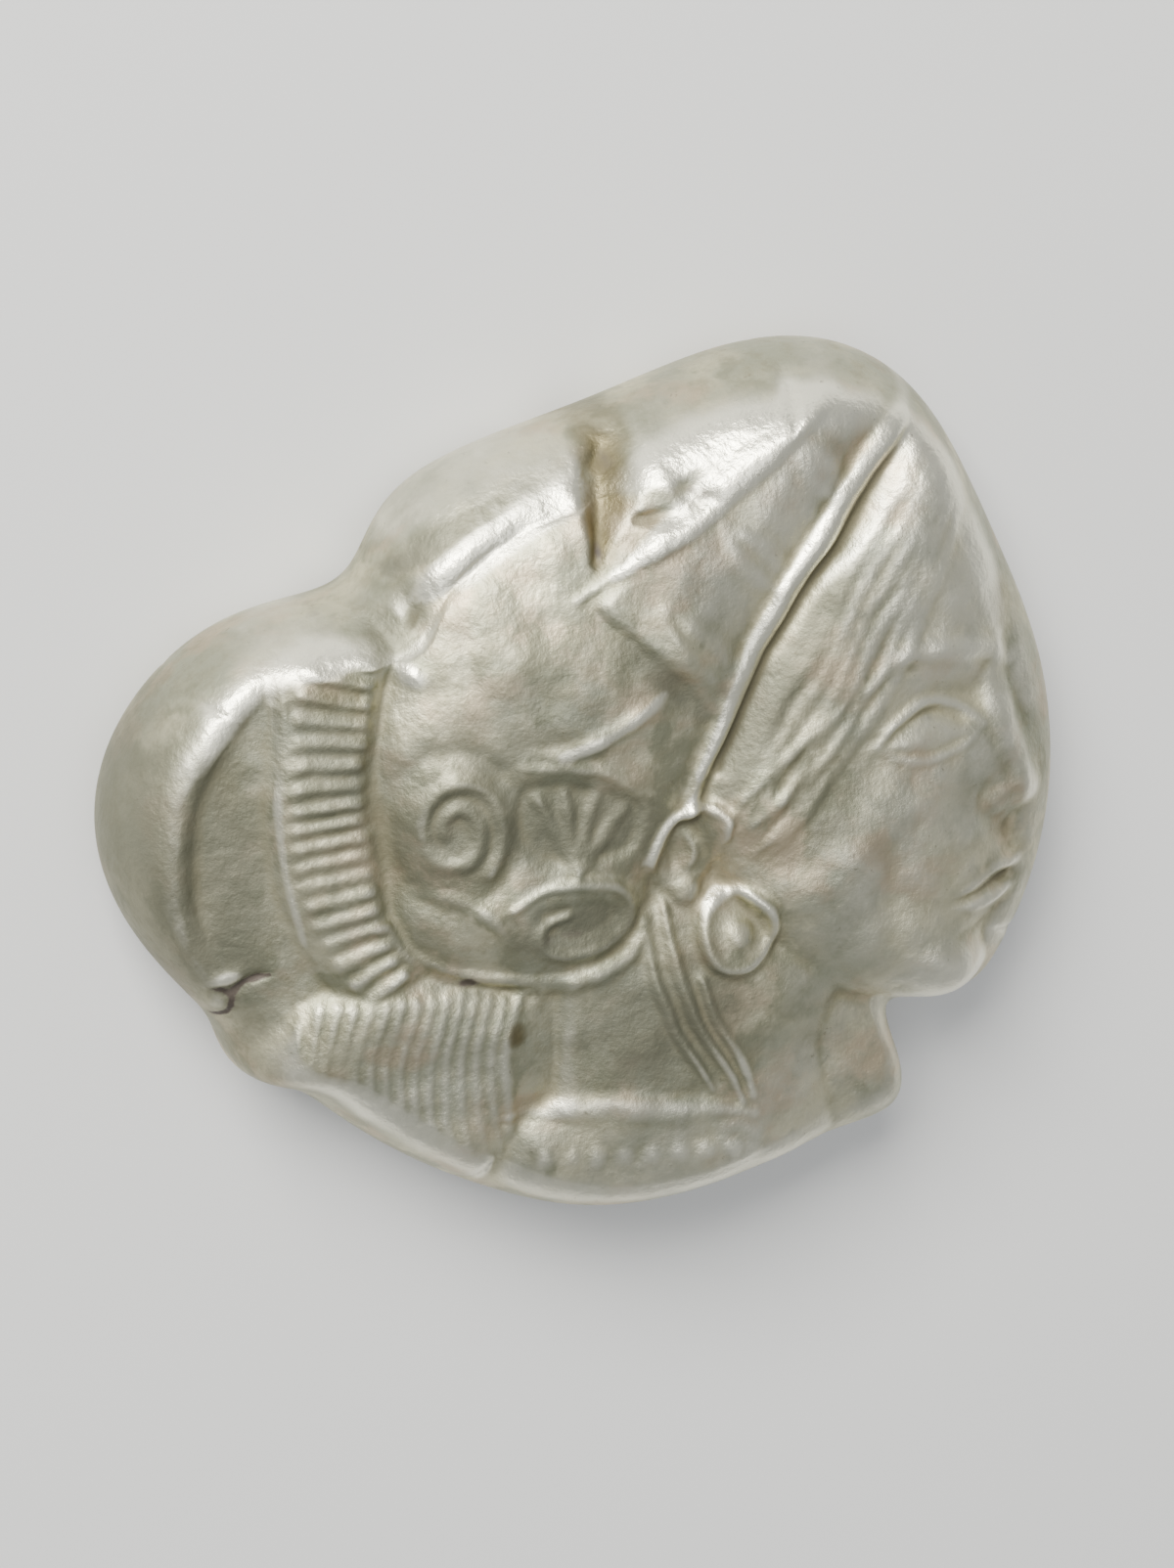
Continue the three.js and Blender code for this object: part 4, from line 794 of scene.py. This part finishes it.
def make_coin():
    paints = {"toning_and_shade": toning_and_shade, "polish_and_highlight": polish_and_highlight, "rust": rust, "blackened": blackened}
    back_paints = {"toning_and_shade": back_toning, "polish_and_highlight": back_polish, "rust": Die.blank, "blackened": Die.blank}
    head = make_face("coin_head_side", head_side, HEAD_SIDE_ROUNDING, 1, HEAD_SIDE_KEPT, paints)
    make_face("coin_back", back_side, BACK_ROUNDING, -1, BACK_KEPT, back_paints, paints)
    bpy.ops.object.mode_set(mode="EDIT")
    bpy.ops.mesh.select_all(action="SELECT")
    bpy.ops.mesh.flip_normals()
    bpy.ops.object.mode_set(mode="OBJECT")
    head.select_set(True)
    bpy.context.view_layer.objects.active = head
    bpy.ops.object.join()
    bpy.ops.object.mode_set(mode="EDIT")
    bpy.ops.mesh.select_all(action="SELECT")
    bpy.ops.mesh.remove_doubles(threshold=1e-7)
    bpy.ops.mesh.quads_convert_to_tris()
    bpy.ops.object.mode_set(mode="OBJECT")
    thin = head.modifiers.new("thin", "DECIMATE")
    thin.ratio = FACETS / len(head.data.polygons)
    bpy.ops.object.modifier_apply(modifier=thin.name)
    bpy.ops.object.shade_smooth()
    head.name = "struck_coin"
    return head


# Materials.
# A Mix node's sockets for colours, by number, because its sockets for numbers have the same names.
MIX_COLOURS = (6, 7)
MIX_RESULT = 2


class Number:
    """A number that changes over a surface. Arithmetic on it adds Math nodes."""

    def __init__(self, finish, socket):
        self.finish = finish
        self.socket = socket

    def _math(self, operation, *values):
        return self.finish.node("ShaderNodeMath", {"operation": operation}, *values)

    def __add__(self, other):
        return self._math("ADD", self, other)

    def __sub__(self, other):
        return self._math("SUBTRACT", self, other)

    def __rsub__(self, other):
        return self._math("SUBTRACT", other, self)

    def __mul__(self, other):
        return self._math("MULTIPLY", self, other)

    __radd__ = __add__
    __rmul__ = __mul__

    def ramp(self, low, high):
        """0 below low, 1 above high, and smooth between them."""
        smooth_step = {"interpolation_type": "SMOOTHSTEP"}
        return self.finish.node("ShaderNodeMapRange", smooth_step, self, low, high, 0.0, 1.0)


class Finish:
    """A material, built node by node."""

    def __init__(self, name):
        self.material = bpy.data.materials.new(name)
        self.material.use_nodes = True
        self.nodes = self.material.node_tree.nodes
        self.links = self.material.node_tree.links
        self.shader = self.nodes["Principled BSDF"]
        self.place = self.node("ShaderNodeTexCoord", {}, output="Object")

    def node(self, kind, settings, *values, output=None, sockets=None, **named):
        """Adds a node, sets it, and joins values or numbers to its sockets in order, by number or by name."""
        node = self.nodes.new(kind)
        for key, value in settings.items():
            setattr(node, key, value)
        for key, value in [*enumerate(values), *(sockets or {}).items(), *named.items()]:
            self.join(node.inputs[key], value)
        return Number(self, node.outputs[output or 0])

    def join(self, socket, value):
        if isinstance(value, Number):
            self.links.new(value.socket, socket)
        else:
            socket.default_value = value

    def set(self, **values):
        for key, value in values.items():
            self.join(self.shader.inputs[key.replace("_", " ")], value)

    def noise(self, size_mm, detail=3.0, roughness=0.55, stretch=None):
        """Cloudy variation whose patches measure about size_mm. A stretch is a scale and a turn of them."""
        place = self.place
        if stretch:
            scale, turn = stretch
            place = self.node("ShaderNodeMapping", {}, place, (0, 0, 0), turn, scale)
        return self.node("ShaderNodeTexNoise", {}, output="Fac", Vector=place, Scale=1 / (size_mm * MM),
                         Detail=detail, Roughness=roughness)

    def layer(self, name):
        """The values that a piece's mesh carries under a name."""
        return self.node("ShaderNodeAttribute", {"attribute_name": name}, output="Fac")

    def tint(self, amount, under, over):
        """One colour laid over another by an amount."""
        colours = [(*value, 1.0) if isinstance(value, tuple) else value for value in (under, over)]
        sockets = dict(zip(MIX_COLOURS, colours))
        return self.node("ShaderNodeMix", {"data_type": "RGBA"}, amount, output=MIX_RESULT, sockets=sockets)


def old_silver():
    """Worn silver: pale and warm on top, with painted highlights, darker in the hollows, with painted shade
    and a few stains.
    """
    finish = Finish("old_silver")
    hollow = finish.layer("hollow")
    basin = finish.layer("basin")
    rust = finish.layer("rust")
    blackened = finish.layer("blackened")
    cloud = finish.noise(3.0, 4.0, 0.55)
    blotch = finish.noise(1.5, 4.0, 0.6, ((1.0, 0.8, 1.0), (0, 0, 0.9)))
    warm = finish.noise(2.1, 3.0, 0.6, ((0.7, 1.0, 1.0), (0, 0, 0.3)))
    grain = finish.noise(0.6, 5.0, 0.7)
    specks = finish.noise(0.2, 3.0, 0.7)
    toned_and_shaded = finish.layer("toning_and_shade")
    # The hollows are coloured darker and less metallic.
    hollow_darkened = (hollow + grain * 0.03 - 0.015).ramp(0.002, 0.05)
    shaded = (basin + cloud * 0.12 - 0.06).ramp(-0.02, 0.28)
    # Real toning and painted shade darken the colour here.
    dark = (toned_and_shaded * (grain + 0.6) + cloud * 0.5 - 0.25).ramp(0.0, 0.95)
    # Rubbed wear and painted highlights lighten the colour here.
    bright = finish.layer("polish_and_highlight") + hollow * -13.0 - toned_and_shaded * 0.4
    rubbed = (bright + blotch * 0.9 - 0.42 + grain * 0.5 - 0.25).ramp(0.05, 0.95)
    colour = finish.tint(cloud.ramp(0.38, 0.62), (0.62, 0.585, 0.41), (0.4, 0.405, 0.3))
    colour = finish.tint(warm.ramp(0.48, 0.62) * 0.6, colour, (0.52, 0.4, 0.27))
    colour = finish.tint(blotch.ramp(0.48, 0.6) * 0.8, colour, (0.27, 0.275, 0.185))
    colour = finish.tint(grain.ramp(0.42, 0.68) * 0.55, colour, (0.3, 0.28, 0.18))
    colour = finish.tint(shaded * 0.65, colour, (0.29, 0.27, 0.175))
    colour = finish.tint(dark * 0.8, colour, (0.2, 0.198, 0.145))
    colour = finish.tint(rubbed * 0.9, colour, (0.92, 0.895, 0.74))
    colour = finish.tint(hollow_darkened * 0.75, colour, (0.13, 0.115, 0.065))
    colour = finish.tint(rust.ramp(0.1, 0.9) * 0.9, colour, (0.17, 0.142, 0.07))
    # Near-black colour in the deepest cracks and holes.
    colour = finish.tint((blackened + grain * 0.6 - 0.3).ramp(0.2, 0.75), colour, (0.075, 0.06, 0.048))
    colour = finish.tint(specks.ramp(0.64, 0.76) * 0.5, colour, (0.17, 0.15, 0.1))
    finish.set(Base_Color=colour, Metallic=0.95 - hollow_darkened * 0.45 - blackened.ramp(0.2, 0.6) * 0.5,
               Roughness=0.4 + hollow_darkened * 0.25 + dark * 0.12 + grain * 0.16 - rubbed * 0.14)
    scratch = finish.noise(0.1, 2.0, 0.6, ((1.0, 0.05, 1.0), (0, 0, 0.6)))
    relief = grain * 0.4 + specks * 0.3 + scratch * 0.06 + blotch * 1.4 + warm * 0.8
    bump = finish.node("ShaderNodeBump", {}, Strength=0.7, Distance=0.09 * MM, Height=relief)
    finish.set(Normal=bump)
    return finish.material


def pale_floor():
    finish = Finish("pale_floor")
    finish.set(Base_Color=(0.72, 0.72, 0.71, 1.0), Roughness=0.8)
    return finish.material


# The stage.
def make_floor():
    bpy.ops.mesh.primitive_plane_add(size=FLOOR_WIDTH * MM, location=(0, 0, 0))
    floor = bpy.context.object
    floor.name = "floor"
    floor.data.materials.append(pale_floor())


def add_light(name, towards, distance, size, watts, colour):
    data = bpy.data.lights.new(name, "AREA")
    data.size = size * MM
    data.energy = watts
    data.color = colour
    light = bpy.data.objects.new(name, data)
    bpy.context.collection.objects.link(light)
    place = Vector(towards).normalized() * distance * MM
    light.matrix_world = Matrix.Translation(place) @ place.to_track_quat("Z", "Y").to_matrix().to_4x4()


def set_lights():
    world = bpy.data.worlds.new("studio")
    world.use_nodes = True
    world.node_tree.nodes["Background"].inputs["Color"].default_value = ROOM_COLOUR
    world.node_tree.nodes["Background"].inputs["Strength"].default_value = ROOM_STRENGTH
    bpy.context.scene.world = world
    add_light("window", *WINDOW)
    add_light("ceiling", *CEILING)


bpy.ops.object.select_all(action="DESELECT")
set_camera()
coin = make_coin()
coin.data.materials.append(old_silver())
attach(coin, "root")
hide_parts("coin")
make_floor()
set_lights()
